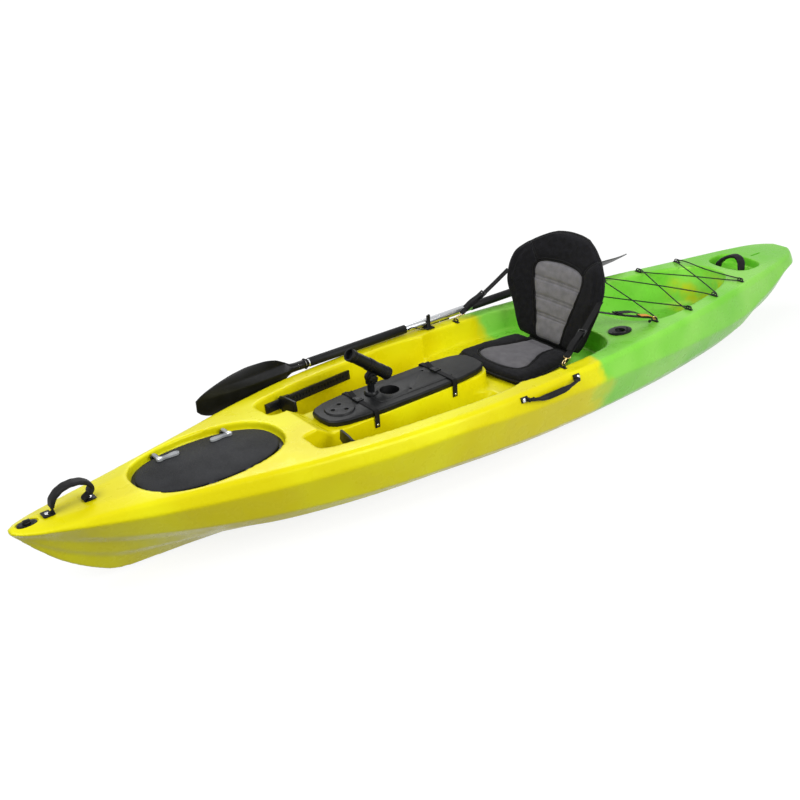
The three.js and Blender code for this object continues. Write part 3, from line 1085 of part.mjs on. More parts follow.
/** A stitched cushion from 0 to its length along X, its underside at z 0, channels across its middle panel. */
function cushion({ length, halfWidth, thickness, crown = 0, bolster = 0, drawIn, wing = 0, channelDepth = 0 },
  widthShare, ringShares) {
  return loft(ringShares.map((share) => {
    const end = Math.min(1, (Math.min(share, 1 - share) * length) / drawIn);
    const swell = cushion_end_share + (1 - cushion_end_share) * Math.sqrt(1 - (1 - end) ** 2);
    const half = halfWidth * widthShare(share);
    const inChannel = channel_places_share.some((place) => Math.abs(place - share) < weldStep);
    const forward = (out) => wing * wingShare(share) * out * out;
    const top = cushion_shares.map(([out, up]) => {
      const inPanel = Math.abs(out) < panel_share;
      const raised = Math.abs(out) > panel_share ? bolster * end : crown * (1 - out * out) * end;
      const dip = inPanel && inChannel ? channelDepth : 0;
      return [share * length, half * out, thickness * up * swell + raised * up - dip + forward(out)];
    });
    const under = [...cushion_foot_shares, ...cushion_foot_shares.map((out) => -out).reverse()]
      .map((out) => [share * length, half * out, forward(out)]);
    return [...top, ...under];
  }));
}

/** From the back's own frame (up it, across it, forward of it) to the model's. */
function backFrame() {
  const matrix = new THREE.Matrix4().makeBasis(new THREE.Vector3(0, 0, 1), new THREE.Vector3(0, -1, 0),
    new THREE.Vector3(1, 0, 0));
  const lean = new THREE.Matrix4().makeRotationY(-degrees(seatBack.rake));
  return lean.multiply(matrix).setPosition(seatBack.hingeX, 0, seatBack.hingeZ);
}

const backPoint = (share, y, forward) => new THREE.Vector3(share * seatBack.length, -y,
  forward).applyMatrix4(backFrame()).toArray();

function makeSeat() {
  const cushionPan = cushion(seatPan, panWidthShare, pan_ring_shares).translate(seatPan.rearX, 0,
    cockpit.seatFloorZ + seatGap);
  const [hemX, , hemZ] = backPoint(-(seatHem.radius + seatGap * 2) / seatBack.length, 0,
    -seatBack.thickness * (1 + cushion_end_share) / 2);
  const flapLength = seatPan.rearX + seatHem.lap - hemX;
  const pan = carved(cushionPan, [
    rod(seatHem.radius, seatHem.halfLength * 2, 'y', 10).translate(hemX, 0, hemZ),
    block(flapLength, seatHem.halfLength * 2, seatHem.flap,
      [hemX + flapLength / 2, 0, hemZ - seatHem.radius + seatHem.flap / 2]),
  ]);
  const back = cushion(seatBack, backWidthShare, back_ring_shares).translate(0, 0, -seatBack.thickness)
    .applyMatrix4(backFrame());

  // A strap from a side of the back down to an eye, ending in a wire ring round the eye's bar
  const straps = [1, -1].flatMap((side) => [
    ['front', backPoint(strapEnds.frontShare, side * (seatBack.halfWidth * backWidthShare(strapEnds.frontShare) + strap.width / 2 + strap.sideGap),
      seatBack.wing - seatBack.thickness / 2),
      [seatEye.x, side * seatEye.y], 0],
    ['rear', backPoint(strapEnds.rearShare, side * strapEnds.rearY, -seatBack.thickness - strap.sideGap),
      [eyeRows[0][0], side * eyeRows[0][1]], side * strapEnds.rearOut * strapEnds.rearOut],
  ].map(([name, top, [x, y], aside]) => {
    const bar = new THREE.Vector3(x, y + aside, eyeBarZ(x));
    const pull = new THREE.Vector3(top[0] - x, 0, top[2] - bar.z).normalize();
    const centre = bar.addScaledVector(pull, strap.ringDraw).toArray();
    const ringBody = new THREE.TorusGeometry(strap.ringRadius, strap.ringWire, 6,
      strap.ringSides).rotateX(Math.PI / 2).translate(...centre);
    const away = new THREE.Vector3(...top).sub(new THREE.Vector3(...centre)).normalize();
    const flatAway = new THREE.Vector3(away.x, 0, away.z).normalize();
    const start = new THREE.Vector3(...centre).addScaledVector(flatAway, strap.ringRadius);
    const next = start.clone().addScaledVector(away, strap.width);
    const neck = ribbon([start.toArray(), next.toArray()], [[0, 1, 0]], strap.ringWire * 3, strap.ringWire * 3);
    const trimmed = ribbon([next.toArray(), top], [[0, 1, 0]], strap.width, strap.thickness);
    return part(`seat_strap_${name}_${sideName(side)}`, carved(ringBody, [neck, trimmed]), paint.webbing);
  }));
  return [part('seat_pan', pan, paint.mesh), part('seat_back', back, paint.mesh), ...straps];
}

// Eyes and lacing

const eyeBarZ = (x) => deckZ(x) + seatGap * 2 + eye.baseThickness + eye.holeHeight + eye.bar / 2;

function makeEyes() {
  const halfOuter = eye.holeHalfWidth + eye.bar;
  const topZ = eye.baseThickness + eye.holeHeight + eye.bar;
  const corner = eye.bar * 1.5;
  const outline = [[-halfOuter, eye.baseThickness / 2], [halfOuter, eye.baseThickness / 2],
    [halfOuter, topZ - corner], [halfOuter - corner, topZ],
    [-halfOuter + corner, topZ], [-halfOuter, topZ - corner]];
  const shape = new THREE.Shape(outline.map(([y, z]) => new THREE.Vector2(y, z)));
  const low = eye.baseThickness;
  const high = topZ - eye.bar;
  shape.holes.push(new THREE.Path([[-eye.holeHalfWidth, low], [eye.holeHalfWidth, low],
    [eye.holeHalfWidth, high - corner / 2],
    [eye.holeHalfWidth - corner / 2, high], [-eye.holeHalfWidth + corner / 2, high],
      [-eye.holeHalfWidth, high - corner / 2]]
    .map(([y, z]) => new THREE.Vector2(y, z))));
  const turn = new THREE.Matrix4().makeBasis(new THREE.Vector3(0, 1, 0), new THREE.Vector3(0, 0, 1),
    new THREE.Vector3(1, 0, 0));
  const arch = plate(shape, eye.thickness).applyMatrix4(turn).translate(-eye.thickness / 2, 0, 0);
  const geometry = carved(block(eye.baseWidth, eye.baseLength, eye.baseThickness,
    [0, 0, eye.baseThickness / 2]), [arch]);
  return [1, -1].flatMap((side) => [
    part(`seat_eye_${sideName(side)}`, onDeck(geometry, seatEye.x, side * seatEye.y), paint.blackPlastic),
    ...eyeRows.map(([x, y], i) => part(`tank_eye_${i + 1}_${sideName(side)}`, onDeck(geometry, x, side * y),
      paint.blackPlastic)),
  ]);
}

/** A curve sampled evenly between its points, not by length. */
class ChosenCurve extends THREE.CatmullRomCurve3 {
  getPointAt(t, target) { return this.getPoint(t, target); }

  getTangentAt(t, target) { return this.getTangent(t, target); }
}

function makeLacing() {
  const holeZ = (x) => deckZ(x) + seatGap * 2 + eye.baseThickness + eye.holeHeight / 2;
  const stops = lacing_shares.map(([row, side, layer]) => ({ x: eyeRows[row][0], y: side * eyeRows[row][1],
    side, layer }));
  const points = [];
  stops.forEach(({ x, y, side, layer }, i) => {
    const before = stops[i - 1];
    const after = stops[i + 1];
    const turning = before && before.x === x ? 1 : -1;
    const z = holeZ(x);
    const enter = x - turning * lacing.reach;
    const leave = x + turning * lacing.reach;
    const far = (other) => new THREE.Vector3(other.x - x, other.y - y, 0).normalize();
    if (before) {
      const out = far(before);
      points.push([enter + out.x * lacing.run, y - side * lacing.inward + out.y * lacing.run,
        z + layer * lacing.lift / 2]);
    } else points.push([enter - turning * lacing.endReach, y, z]);
    points.push([enter, y - side, z], [x, y, z], [leave, y - side, z]);
    if (after) {
      const out = far(after);
      points.push([leave + out.x * lacing.run, y - side * lacing.inward + out.y * lacing.run,
        z + layer * lacing.lift / 2]);
      const otherZ = holeZ(after.x);
      points.push([(x + after.x) / 2, (y + after.y) / 2,
        (z + otherZ) / 2 + ((layer + after.layer) / 2) * lacing.lift]);
    } else points.push([leave + turning * lacing.endReach, y, z]);
  });
  const curve = new ChosenCurve(points.map((p) => new THREE.Vector3(...p)), false, 'centripetal');
  const section = new THREE.Shape(Array.from({ length: lacing.sides }, (_, i) => {
    const angle = (i / lacing.sides) * Math.PI * 2;
    return new THREE.Vector2(Math.cos(angle), Math.sin(angle)).multiplyScalar(lacing.radius);
  }));
  const cordBody = new THREE.ExtrudeGeometry(section,
    { extrudePath: curve, steps: (points.length - 1) * 2, bevelEnabled: false, curveSegments: 1 });
  const ends = [points[0], points[points.length - 1]].map((p) => new THREE.SphereGeometry(lacing.ballRadius, 10,
    8).translate(...p));
  return [part('tank_lacing', carved(cordBody, ends), paint.cord)];
}

// Paddle

function makePaddle() {
  const p = paddle;
  const tube = (outer, inner, length, centre) => carved(rod(outer, length, 'x', p.sides).translate(centre, 0,
    0), [],
    [rod(inner, length + overrun, 'x', p.sides).translate(centre, 0, 0)]);
  const bore = p.shaftRadius - p.shaftWall;
  const half = p.halfLength - p.jointGap / 2;
  const centre = (p.halfLength + p.jointGap / 2) / 2;
  const buttonHole = rod(p.buttonRadius + p.play, p.shaftRadius * 2, 'z', 12).translate(p.buttonAt, 0,
    p.shaftRadius);
  const frontShaft = carved(tube(p.shaftRadius, bore, half, centre), [], [buttonHole]);
  const sleeveOuter = bore - p.play;
  const slot = Array.from({ length: p.slotSteps + 1 },
    (_, i) => buttonHole.clone().rotateX(-degrees(p.feather) * (i / p.slotSteps)));
  const sleeve = carved(rod(sleeveOuter, p.sleeve * 2, 'x', p.sides), [],
    [rod(sleeveOuter - p.sleeveWall, p.sleeve * 3, 'x', p.sides), ...slot]);
  const rearTube = tube(p.shaftRadius, bore - p.play * 2, half, -centre);
  const rearShaft = carved(rearTube, [sleeve]);
  const grip = (end) => tube(p.gripRadius, p.shaftRadius + p.play, p.gripEnd - p.bareHalf,
    end * (p.gripEnd + p.bareHalf) / 2);
  const dripRing = (end) => carved(
    rod(p.ringRadius, p.ringLength, 'x', p.sides, p.ringRadius * ring_taper_share).translate(end * p.ringAt, 0,
      0), [],
    [rod(p.shaftRadius + p.play, p.ringLength * 2, 'x', p.sides).translate(end * p.ringAt, 0, 0)],
  );
  const button = rod(p.buttonRadius, p.buttonDepth, 'z', 12).translate(p.buttonAt, 0,
    p.shaftRadius + p.buttonHeight - p.buttonDepth / 2);

  // A blade from its neck outwards: width along Z, face towards Y
  const bladeBody = (end, turn) => {
    const around = Array.from({ length: 12 }, (_, i) => (i / 12) * Math.PI * 2);
    const rings = blade_shares.map(([run, high, low, spine, scoop]) => around.map((angle) => {
      const across = Math.cos(angle) * blade.halfWidth * (Math.cos(angle) > 0 ? high : low);
      const thin = blade.thickness / 2 + spine * blade.spine * Math.max(0,
        1 - Math.abs(across) / (blade.spine * blade_form_shares.spineSpread));
      const cup = scoop * blade.scoop * (1 - (across / blade.halfWidth) ** 2);
      const round = run < blade_form_shares.neck ?
        Math.sin(angle) * blade.spine : Math.sign(Math.round(Math.sin(angle) * 1e6)) * thin * Math.sqrt(Math.abs(Math.sin(angle)));
      return [end * (p.halfLength + seatGap * 2 + blade.length * run), round + cup, across];
    }));
    const spigotRadius = bore - p.play * 4;
    const spigot = rod(spigotRadius, blade.spigotLength * 2, 'x',
      p.sides).translate(end * (p.halfLength + seatGap * 2), 0, 0);
    const geometry = carved(loft(rings), [spigot]);
    return moved(geometry, [0, 0, 0], [turn, 0, 0]);
  };
  const set = (name, geometry, material) => part(name, geometry.translate(p.jointX, p.y, p.z), material);
  return [
    set('paddle_shaft_front', frontShaft, paint.silver), set('paddle_shaft_rear', rearShaft, paint.silver),
    set('paddle_grip_front', grip(1), paint.blackPlastic),
      set('paddle_grip_rear', grip(-1), paint.blackPlastic),
    set('paddle_ring_front', dripRing(1), paint.rubber), set('paddle_ring_rear', dripRing(-1), paint.rubber),
    set('paddle_blade_front', bladeBody(1, 0), paint.blackPlastic),
    set('paddle_blade_rear', bladeBody(-1, -degrees(p.feather)), paint.blackPlastic),
    set('paddle_button', button, paint.silver),
  ];
}

/** The open clip that keeps the paddle on the gunwale. */
function makeKeeper() {
  const k = keeper;
  const floor = deckZ(k.x) + seatGap * 2;
  const clear = paddle.shaftRadius + k.play;
  const padTop = paddle.z - clear;
  const inboard = paddle.y + clear;
  const base = block(k.length, k.width, padTop - floor,
    [k.x, inboard + k.prong - k.width / 2 + k.width / 3, (padTop + floor) / 2]);
  const inner = block(k.length / 2, k.prong, paddle.z + k.inboardRise - floor,
    [k.x, inboard + k.prong / 2, (paddle.z + k.inboardRise + floor) / 2]);
  const outer = block(k.length / 2, k.prong, paddle.z - padTop + k.baseThickness * 2,
    [k.x, paddle.y - clear - k.prong / 2, (paddle.z + padTop) / 2 - k.baseThickness]);
  const strip = block(k.length / 2, clear * 2 + k.prong, k.baseThickness,
    [k.x, paddle.y, padTop - k.baseThickness / 2]);
  const knob = new THREE.SphereGeometry(k.ballRadius, 12, 8).translate(k.x, inboard + k.ballRadius,
    paddle.z + k.inboardRise);
  return [part('paddle_keeper', carved(base, [inner, outer, strip, knob]), paint.rubber)];
}

const kayak = new THREE.Group();
kayak.name = 'fishing_kayak';
[
  makeHull(), ...makeHatch(), ...makePlug(), ...makeEndHandles(), ...makeSideHandles(), ...makePodLid(),
    ...makeRodHolder(),
  ...makeFlushHolders(), ...makeFootBraces(), ...makeSeat(), ...makeEyes(), ...makeLacing(), ...makePaddle(),
    ...makeKeeper(),
].forEach((mesh) => kayak.add(mesh));

export default kayak;
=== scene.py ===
"""Looks of a sit-on-top fishing kayak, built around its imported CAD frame.

Metres, +X to the bow, +Y to port, +Z up, the keel's flat at z = 0. The tables' sizes are millimetres, as in
the part's source.
"""

import json
import logging
import math
from dataclasses import dataclass, field
from enum import Enum
from typing import Callable, Iterable, Sequence

import bmesh
import bpy
import numpy as np
from mathutils import Matrix, Vector
from mathutils.bvhtree import BVHTree
from mathutils.kdtree import KDTree

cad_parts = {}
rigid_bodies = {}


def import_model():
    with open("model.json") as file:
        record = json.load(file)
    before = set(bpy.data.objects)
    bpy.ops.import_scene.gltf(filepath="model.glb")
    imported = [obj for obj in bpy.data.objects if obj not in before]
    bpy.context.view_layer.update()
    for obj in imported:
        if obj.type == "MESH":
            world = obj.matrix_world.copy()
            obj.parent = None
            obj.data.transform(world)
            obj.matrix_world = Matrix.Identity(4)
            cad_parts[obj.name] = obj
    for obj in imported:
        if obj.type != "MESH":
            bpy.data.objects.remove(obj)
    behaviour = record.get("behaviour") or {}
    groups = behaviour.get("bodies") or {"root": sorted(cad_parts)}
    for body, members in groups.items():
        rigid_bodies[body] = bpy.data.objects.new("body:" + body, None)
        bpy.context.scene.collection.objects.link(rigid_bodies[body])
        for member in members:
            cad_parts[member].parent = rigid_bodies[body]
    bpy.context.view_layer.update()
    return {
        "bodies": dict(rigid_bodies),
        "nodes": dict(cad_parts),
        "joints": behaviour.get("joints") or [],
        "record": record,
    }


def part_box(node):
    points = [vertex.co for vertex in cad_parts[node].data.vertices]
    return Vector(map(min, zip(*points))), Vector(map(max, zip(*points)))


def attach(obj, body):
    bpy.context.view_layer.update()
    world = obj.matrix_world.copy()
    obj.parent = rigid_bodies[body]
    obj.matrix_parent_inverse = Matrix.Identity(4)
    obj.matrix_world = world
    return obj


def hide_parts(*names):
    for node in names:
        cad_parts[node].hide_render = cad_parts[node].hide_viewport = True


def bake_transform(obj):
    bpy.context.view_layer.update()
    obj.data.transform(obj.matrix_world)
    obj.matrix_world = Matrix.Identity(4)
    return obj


log = logging.getLogger("kayak")
MM = 0.001
Curve = Callable[[np.ndarray | float], np.ndarray]
Pairs = Sequence[tuple[float, float]]
Triples = Sequence[tuple[float, float, float]]
Piece = bpy.types.Object
Socket = bpy.types.NodeSocket
Material = bpy.types.Material


class Side(Enum):
    """The two sides of the boat, by the sign of Y."""

    PORT = 1
    STARBOARD = -1

    @property
    def word(self) -> str:
        """The side's name as the CAD nodes spell it."""
        return self.name.lower()


# Colour and shader nodes


def linear(code: str) -> tuple[float, float, float, float]:
    """An sRGB hex colour as linear RGBA.

    Args:
        code: six hex digits with a leading #.

    Returns:
        The colour, opaque.
    """
    parts = [int(code[i : i + 2], 16) / 255 for i in (1, 3, 5)]
    return (*[p / 12.92 if p <= 0.04045 else ((p + 0.055) / 1.055) ** 2.4 for p in parts], 1.0)


def add_node(tree: bpy.types.NodeTree, kind: str, inputs: dict | None = None,
             **settings: object) -> bpy.types.Node:
    """Adds a node with its settings, input values and links.

    Args:
        tree: the node tree.
        kind: the node's type.
        inputs: input name or index to a value, or to an output socket that is linked to it.
        settings: properties of the node.

    Returns:
        The new node.
    """
    node = tree.nodes.new(kind)
    for key, value in settings.items():
        setattr(node, key, value)
    for key, value in (inputs or {}).items():
        if isinstance(value, Socket):
            tree.links.new(value, node.inputs[key])
        else:
            node.inputs[key].default_value = value
    return node


@dataclass
class Surface:
    """A material being built: its tree, its shader and the coordinates that it reads."""

    name: str
    use_uv: bool = False
    material: Material = field(init=False)

    def __post_init__(self) -> None:
        """Makes the material with one Principled shader."""
        self.material = bpy.data.materials.new(self.name)
        self.material.use_nodes = True
        self.tree = self.material.node_tree
        self.shader = self.tree.nodes["Principled BSDF"]
        coords = add_node(self.tree, "ShaderNodeTexCoord")
        self.at = coords.outputs["UV" if self.use_uv else "Object"]

    def math(self, operation: str, *values: object) -> Socket:
        """The output of a Math node on values or sockets."""
        return add_node(self.tree, "ShaderNodeMath", dict(enumerate(values)), operation=operation).outputs[0]

    def noise(self, size: float, detail: float = 2.0, at: Socket | None = None) -> Socket:
        """Noise whose features are about size metres across."""
        inputs = {"Vector": at or self.at, "Scale": 1 / size, "Detail": detail}
        return add_node(self.tree, "ShaderNodeTexNoise", inputs).outputs["Fac"]

    def between(self, value: Socket, low: float, high: float, start: float, end: float) -> Socket:
        """The value remapped from low..high to start..end, smoothly."""
        inputs = {"Value": value, "From Min": low, "From Max": high, "To Min": start, "To Max": end}
        return add_node(self.tree, "ShaderNodeMapRange", inputs,
                        interpolation_type="SMOOTHSTEP").outputs["Result"]

    def mix(self, share: Socket, first: object, second: object) -> Socket:
        """Two colours mixed by a share from 0 to 1."""
        node = add_node(self.tree, "ShaderNodeMix", data_type="RGBA")
        for index, value in ((0, share), (6, first), (7, second)):
            if isinstance(value, Socket):
                self.tree.links.new(value, node.inputs[index])
            else:
                node.inputs[index].default_value = value
        return node.outputs[2]

    def bump(self, height: Socket, depth: float, strength: float = 1.0) -> None:
        """Links a bump of that depth in metres to the shader's normal."""
        node = add_node(self.tree, "ShaderNodeBump",
                        {"Height": height, "Distance": depth, "Strength": strength})
        self.tree.links.new(node.outputs["Normal"], self.shader.inputs["Normal"])

    def feed(self, name: str, value: object) -> None:
        """Sets or links an input of the shader."""
        if isinstance(value, Socket):
            self.tree.links.new(value, self.shader.inputs[name])
        else:
            self.shader.inputs[name].default_value = value


@dataclass(frozen=True)
class Polyethylene:
    """Rotomoulded polyethylene: two pigments that run into each other, a waxy skin and faint orange peel."""

    name: str = "rotomoulded_polyethylene"
    yellow: str = "#eae610"
    warm: str = "#e0d404"
    green: str = "#76d238"
    pale: str = "#94e25a"
    blend_x: float = -0.262
    blend_width: float = 0.085
    roughness: float = 0.29

    def material(self) -> Material:
        """The hull's material, yellow ahead of the seat and green behind it."""
        s = Surface(self.name)
        place = add_node(s.tree, "ShaderNodeSeparateXYZ", {"Vector": s.at})
        slow = s.noise(0.16, 3.0)
        lane = s.math("MULTIPLY_ADD", s.math("SUBTRACT", slow, 0.5), 0.26, place.outputs["X"])
        lane = s.math("MULTIPLY_ADD", place.outputs["Y"], 0.10, lane)
        lane = s.math("MULTIPLY_ADD", place.outputs["Z"], -0.16, lane)
        # the border is crisp along the rim and spreads lower down, where the powders melted together
        crisp = s.between(place.outputs["Z"], 0.17, 0.26, 1.0, 2.8)
        lane = s.math("MULTIPLY", s.math("SUBTRACT", lane, self.blend_x), crisp)
        green_share = s.between(lane, self.blend_width, -self.blend_width, 0.0, 1.0)
        # a yellow island left in the floor of the rear well, where powder was scattered
        reach = s.math("ABSOLUTE", s.math("ADD", place.outputs["X"], 1.30))
        aft = s.math("MULTIPLY", s.between(reach, 0.06, 0.14, 1.0, 0.0),
                     s.between(s.math("ABSOLUTE", place.outputs["Y"]), 0.1, 0.15, 1.0, 0.0))
        low = s.math("MULTIPLY", s.between(place.outputs["Z"], 0.20, 0.26, 1.0, 0.0),
                     s.between(place.outputs["Z"], 0.085, 0.095, 0.0, 1.0))
        island = s.math("MULTIPLY", s.math("MULTIPLY", aft, low), s.between(slow, 0.42, 0.58, 0.0, 0.85))
        green_share = s.math("SUBTRACT", green_share, island)
        cloud = s.between(s.noise(0.35, 2.0), 0.35, 0.65, 0.0, 1.0)
        yellow = s.mix(cloud, linear(self.yellow), linear(self.warm))
        green = s.mix(cloud, linear(self.green), linear(self.pale))
        s.feed("Base Color", s.mix(green_share, yellow, green))
        s.feed("Roughness", s.between(s.noise(0.05), 0.3, 0.7, self.roughness - 0.05, self.roughness + 0.07))
        s.feed("IOR", 1.5)
        s.feed("Specular IOR Level", 0.42)
        s.feed("Specular Tint", (0.92, 0.98, 0.3, 1.0))
        peel = s.math("MULTIPLY_ADD", s.noise(0.0016, 2.0), 0.35, s.noise(0.012, 2.0))
        s.bump(peel, 0.00035, 0.5)
        return s.material


@dataclass(frozen=True)
class Moulded:
    """A moulded plastic or rubber: a grained skin, a slow tone change and scuffed high spots of the grain."""

    name: str
    colour: str
    tone: str
    roughness: float
    grain: float = 0.0014
    depth: float = 0.00012

    def material(self) -> Material:
        """The material, the grain drawn a little coarser than the real one so that it shows."""
        s = Surface(self.name)
        grain = s.noise(self.grain, 3.0)
        slow = s.between(s.noise(0.06, 3.0), 0.35, 0.65, 0.0, 1.0)
        base = s.mix(slow, linear(self.colour), linear(self.tone))
        s.feed("Base Color", s.mix(s.between(grain, 0.52, 0.74, 0.0, 0.5), base, linear(self.tone)))
        s.feed("Roughness", s.between(grain, 0.3, 0.7, self.roughness + 0.06, self.roughness - 0.06))
        s.feed("IOR", 1.5)
        s.feed("Specular IOR Level", 0.2)
        s.bump(grain, self.depth, 0.8)
        return s.material


@dataclass(frozen=True)
class Pebbled:
    """A textured polypropylene lid: small rounded pebbles from a spark-eroded mould."""

    name: str = "pebbled_polypropylene"
    colour: str = "#1c1d20"
    tone: str = "#26272a"
    cell: float = 0.0035

    def material(self) -> Material:
        """The material, its pebbles 3.5 mm across, about twice the real ones so that they show."""
        s = Surface(self.name)
        cells = add_node(s.tree, "ShaderNodeTexVoronoi",
                         {"Vector": s.at, "Scale": 1 / self.cell, "Randomness": 0.9})
        height = s.between(cells.outputs["Distance"], 0.15, 0.6, 1.0, 0.0)
        slow = s.between(s.noise(0.09, 3.0), 0.35, 0.65, 0.0, 1.0)
        s.feed("Base Color", s.mix(slow, linear(self.colour), linear(self.tone)))
        s.feed("Roughness", s.between(height, 0.0, 1.0, 0.66, 0.46))
        s.feed("IOR", 1.49)
        s.feed("Specular IOR Level", 0.2)
        s.bump(height, 0.00022, 0.8)
        return s.material


@dataclass(frozen=True)
class DrawnMetal:
    """A metal with fine lines along X from drawing or brushing."""

    name: str
    colour: str
    roughness: float
    line: float = 0.0007

    def material(self) -> Material:
        """The material, its lines stretched sixty times along X."""
        s = Surface(self.name)
        stretch = add_node(s.tree, "ShaderNodeMapping", {"Vector": s.at, "Scale": (1 / 60, 1.0, 1.0)})
        lines = s.noise(self.line, 3.0, stretch.outputs["Vector"])
        s.feed("Base Color", s.mix(s.between(lines, 0.3, 0.7, 0.0, 0.22), linear(self.colour),
                                   linear("#9a9c9f")))
        s.feed("Metallic", 1.0)
        s.feed("Roughness", s.between(lines, 0.3, 0.7, self.roughness - 0.06, self.roughness + 0.1))
        s.bump(lines, 0.00003, 0.5)
        return s.material


@dataclass(frozen=True)
class Woven:
    """A plain or twill weave that follows the piece's own UV map, which is in metres."""

    name: str
    colour: str
    light: str
    thread: float = 0.0016
    depth: float = 0.0004
    roughness: float = 0.8
    skew: float = 0.0
    sheen: float = 0.15

    def material(self) -> Material:
        """The material. Threads are drawn somewhat wider than real ones so that they show."""
        s = Surface(self.name, use_uv=True)
        place = add_node(s.tree, "ShaderNodeSeparateXYZ", {"Vector": s.at})
        turn = 2 * math.pi / (self.thread * 2)
        u = s.math("MULTIPLY", place.outputs["X"], turn)
        v = s.math("MULTIPLY_ADD", place.outputs["X"], turn * self.skew,
                   s.math("MULTIPLY", place.outputs["Y"], turn))
        weft = s.math("SINE", u)
        warp = s.math("SINE", v)
        cross = s.math("MULTIPLY", weft, warp)
        height = s.between(cross, -1.0, 1.0, 0.0, 1.0)
        slow = s.between(s.noise(0.03, 3.0), 0.3, 0.7, 0.0, 0.35)
        tint = s.mix(s.math("ADD", s.math("MULTIPLY", height, 0.55), slow), linear(self.colour),
                     linear(self.light))
        s.feed("Base Color", tint)
        s.feed("Roughness", self.roughness)
        s.feed("Specular IOR Level", 0.15)
        s.feed("Sheen Weight", self.sheen)
        s.feed("Sheen Roughness", 0.5)
        s.bump(height, self.depth, 0.8)
        return s.material


@dataclass(frozen=True)
class SpacerMesh:
    """A warp-knitted spacer fabric: round openings in staggered rows, their insides painted near black as
    painted shade.
    """

    name: str = "spacer_mesh_polyester"
    colour: str = "#17171a"
    # near black for the openings: painted shade inside them
    hole: str = "#020202"
    pitch: float = 0.0042

    def material(self) -> Material:
        """The material, its openings 4.2 mm apart as the photograph's mesh is."""
        s = Surface(self.name, use_uv=True)
        place = add_node(s.tree, "ShaderNodeSeparateXYZ", {"Vector": s.at})
        turn = 2 * math.pi / self.pitch
        a = s.math("COSINE", s.math("MULTIPLY", place.outputs["X"], turn))
        b = s.math("COSINE", s.math("MULTIPLY", place.outputs["Y"], turn * 0.577))
        c = s.math("MULTIPLY", a, b)
        ring = s.between(c, -0.2, 0.75, 1.0, 0.0)
        lit = s.mix(s.between(s.noise(0.02, 3.0), 0.3, 0.7, 0.0, 1.0), linear(self.colour), linear("#212126"))
        # the openings get the near-black colour: painted shade inside them
        s.feed("Base Color", s.mix(ring, linear(self.hole), lit))
        s.feed("Roughness", 0.85)
        s.feed("Specular IOR Level", 0.12)
        s.feed("Sheen Weight", 0.03)
        s.bump(ring, 0.0006, 0.9)
        return s.material


@dataclass(frozen=True)
class Braided:
    """The braided cover of elastic cord, its strands winding both ways, with a light fleck."""

    name: str = "braided_polyester_cord"
    colour: str = "#121314"
    fleck: str = "#2c2f33"
    pitch: float = 0.006

    def material(self) -> Material:
        """The material, on a UV map with metres round and along the cord."""
        s = Surface(self.name, use_uv=True)
        place = add_node(s.tree, "ShaderNodeSeparateXYZ", {"Vector": s.at})
        turn = 2 * math.pi / self.pitch
        up = s.math("MULTIPLY", place.outputs["Y"], turn)
        around = s.math("MULTIPLY", place.outputs["X"], turn * 1.6)
        left = s.math("SINE", s.math("ADD", up, around))
        right = s.math("SINE", s.math("SUBTRACT", up, around))
        height = s.between(s.math("MULTIPLY", left, right), -1.0, 1.0, 0.0, 1.0)
        s.feed("Base Color", s.mix(height, linear(self.colour), linear(self.fleck)))
        s.feed("Roughness", 0.62)
        s.feed("Specular IOR Level", 0.25)
        s.bump(height, 0.0004, 0.8)
        return s.material


class Finishes:
    """One material of each finish, made once."""

    def __init__(self) -> None:
        """Makes every material."""
        self.hull = Polyethylene().material()
        self.black = Moulded("moulded_nylon_black", "#0f1011", "#191a1c", 0.36).material()
        self.lid = Pebbled().material()
        self.shell = Moulded(
            "moulded_polyethylene_black", "#101112", "#1a1b1c", 0.42, 0.002, 0.00018).material()
        self.grey = Moulded("moulded_acetal_grey", "#85888c", "#a2a5a8", 0.3, 0.0012, 0.00006).material()
        self.rubber = Moulded("moulded_rubber_black", "#0c0c0d", "#161617", 0.55, 0.0018, 0.0002).material()
        self.foam = Moulded("foam_sleeve_black", "#0c0d0e", "#151618", 0.55, 0.0022, 0.00025).material()
        self.blade = Moulded(
            "glass_filled_polypropylene", "#0c0d0e", "#16171a", 0.34, 0.0016, 0.00008).material()
        self.silver = DrawnMetal("anodised_aluminium_tube", "#d2d4d6", 0.3).material()
        self.steel = DrawnMetal("polished_steel", "#d8dadc", 0.2).material()
        self.brass = DrawnMetal("plated_brass", "#dcc083", 0.26).material()
        self.webbing = Woven(
            "woven_nylon_webbing", "#070708", "#19191b", 0.0018, 0.0005, 0.7, 0.5, 0.04).material()
        self.panel = Woven(
            "woven_polyester_grey", "#6e6d71", "#959398", 0.0024, 0.0003, 0.8, 0.0, 0.1).material()
        # a darker copy of the grey panel fabric for the seat pan: painted shade, the pan being less lit than
        # the back
        self.seat_panel = Woven(
            "woven_polyester_pressed", "#515054", "#6e6c70", 0.0024, 0.0003, 0.8, 0.0, 0.1).material()
        self.mesh = SpacerMesh().material()
        self.piping = Woven(
            "bound_edge_tape", "#050506", "#121213", 0.0013, 0.0002, 0.55, 0.0, 0.03).material()
        self.thread = Moulded("bonded_nylon_thread", "#4c4e51", "#5d5f62", 0.6, 0.0008, 0.00004).material()
        self.cord = Braided().material()
        # near black, meant as painted shade inside bores and pits; only the hull's cutters are given it, and
        # it is cleared from them
        self.dark = Moulded("dark_inside", "#0a0a0a", "#101010", 0.9).material()
        self.orange = Woven("woven_tab_orange", "#d98a10", "#f2ad34", 0.0018, 0.0003, 0.75).material()


# Meshes


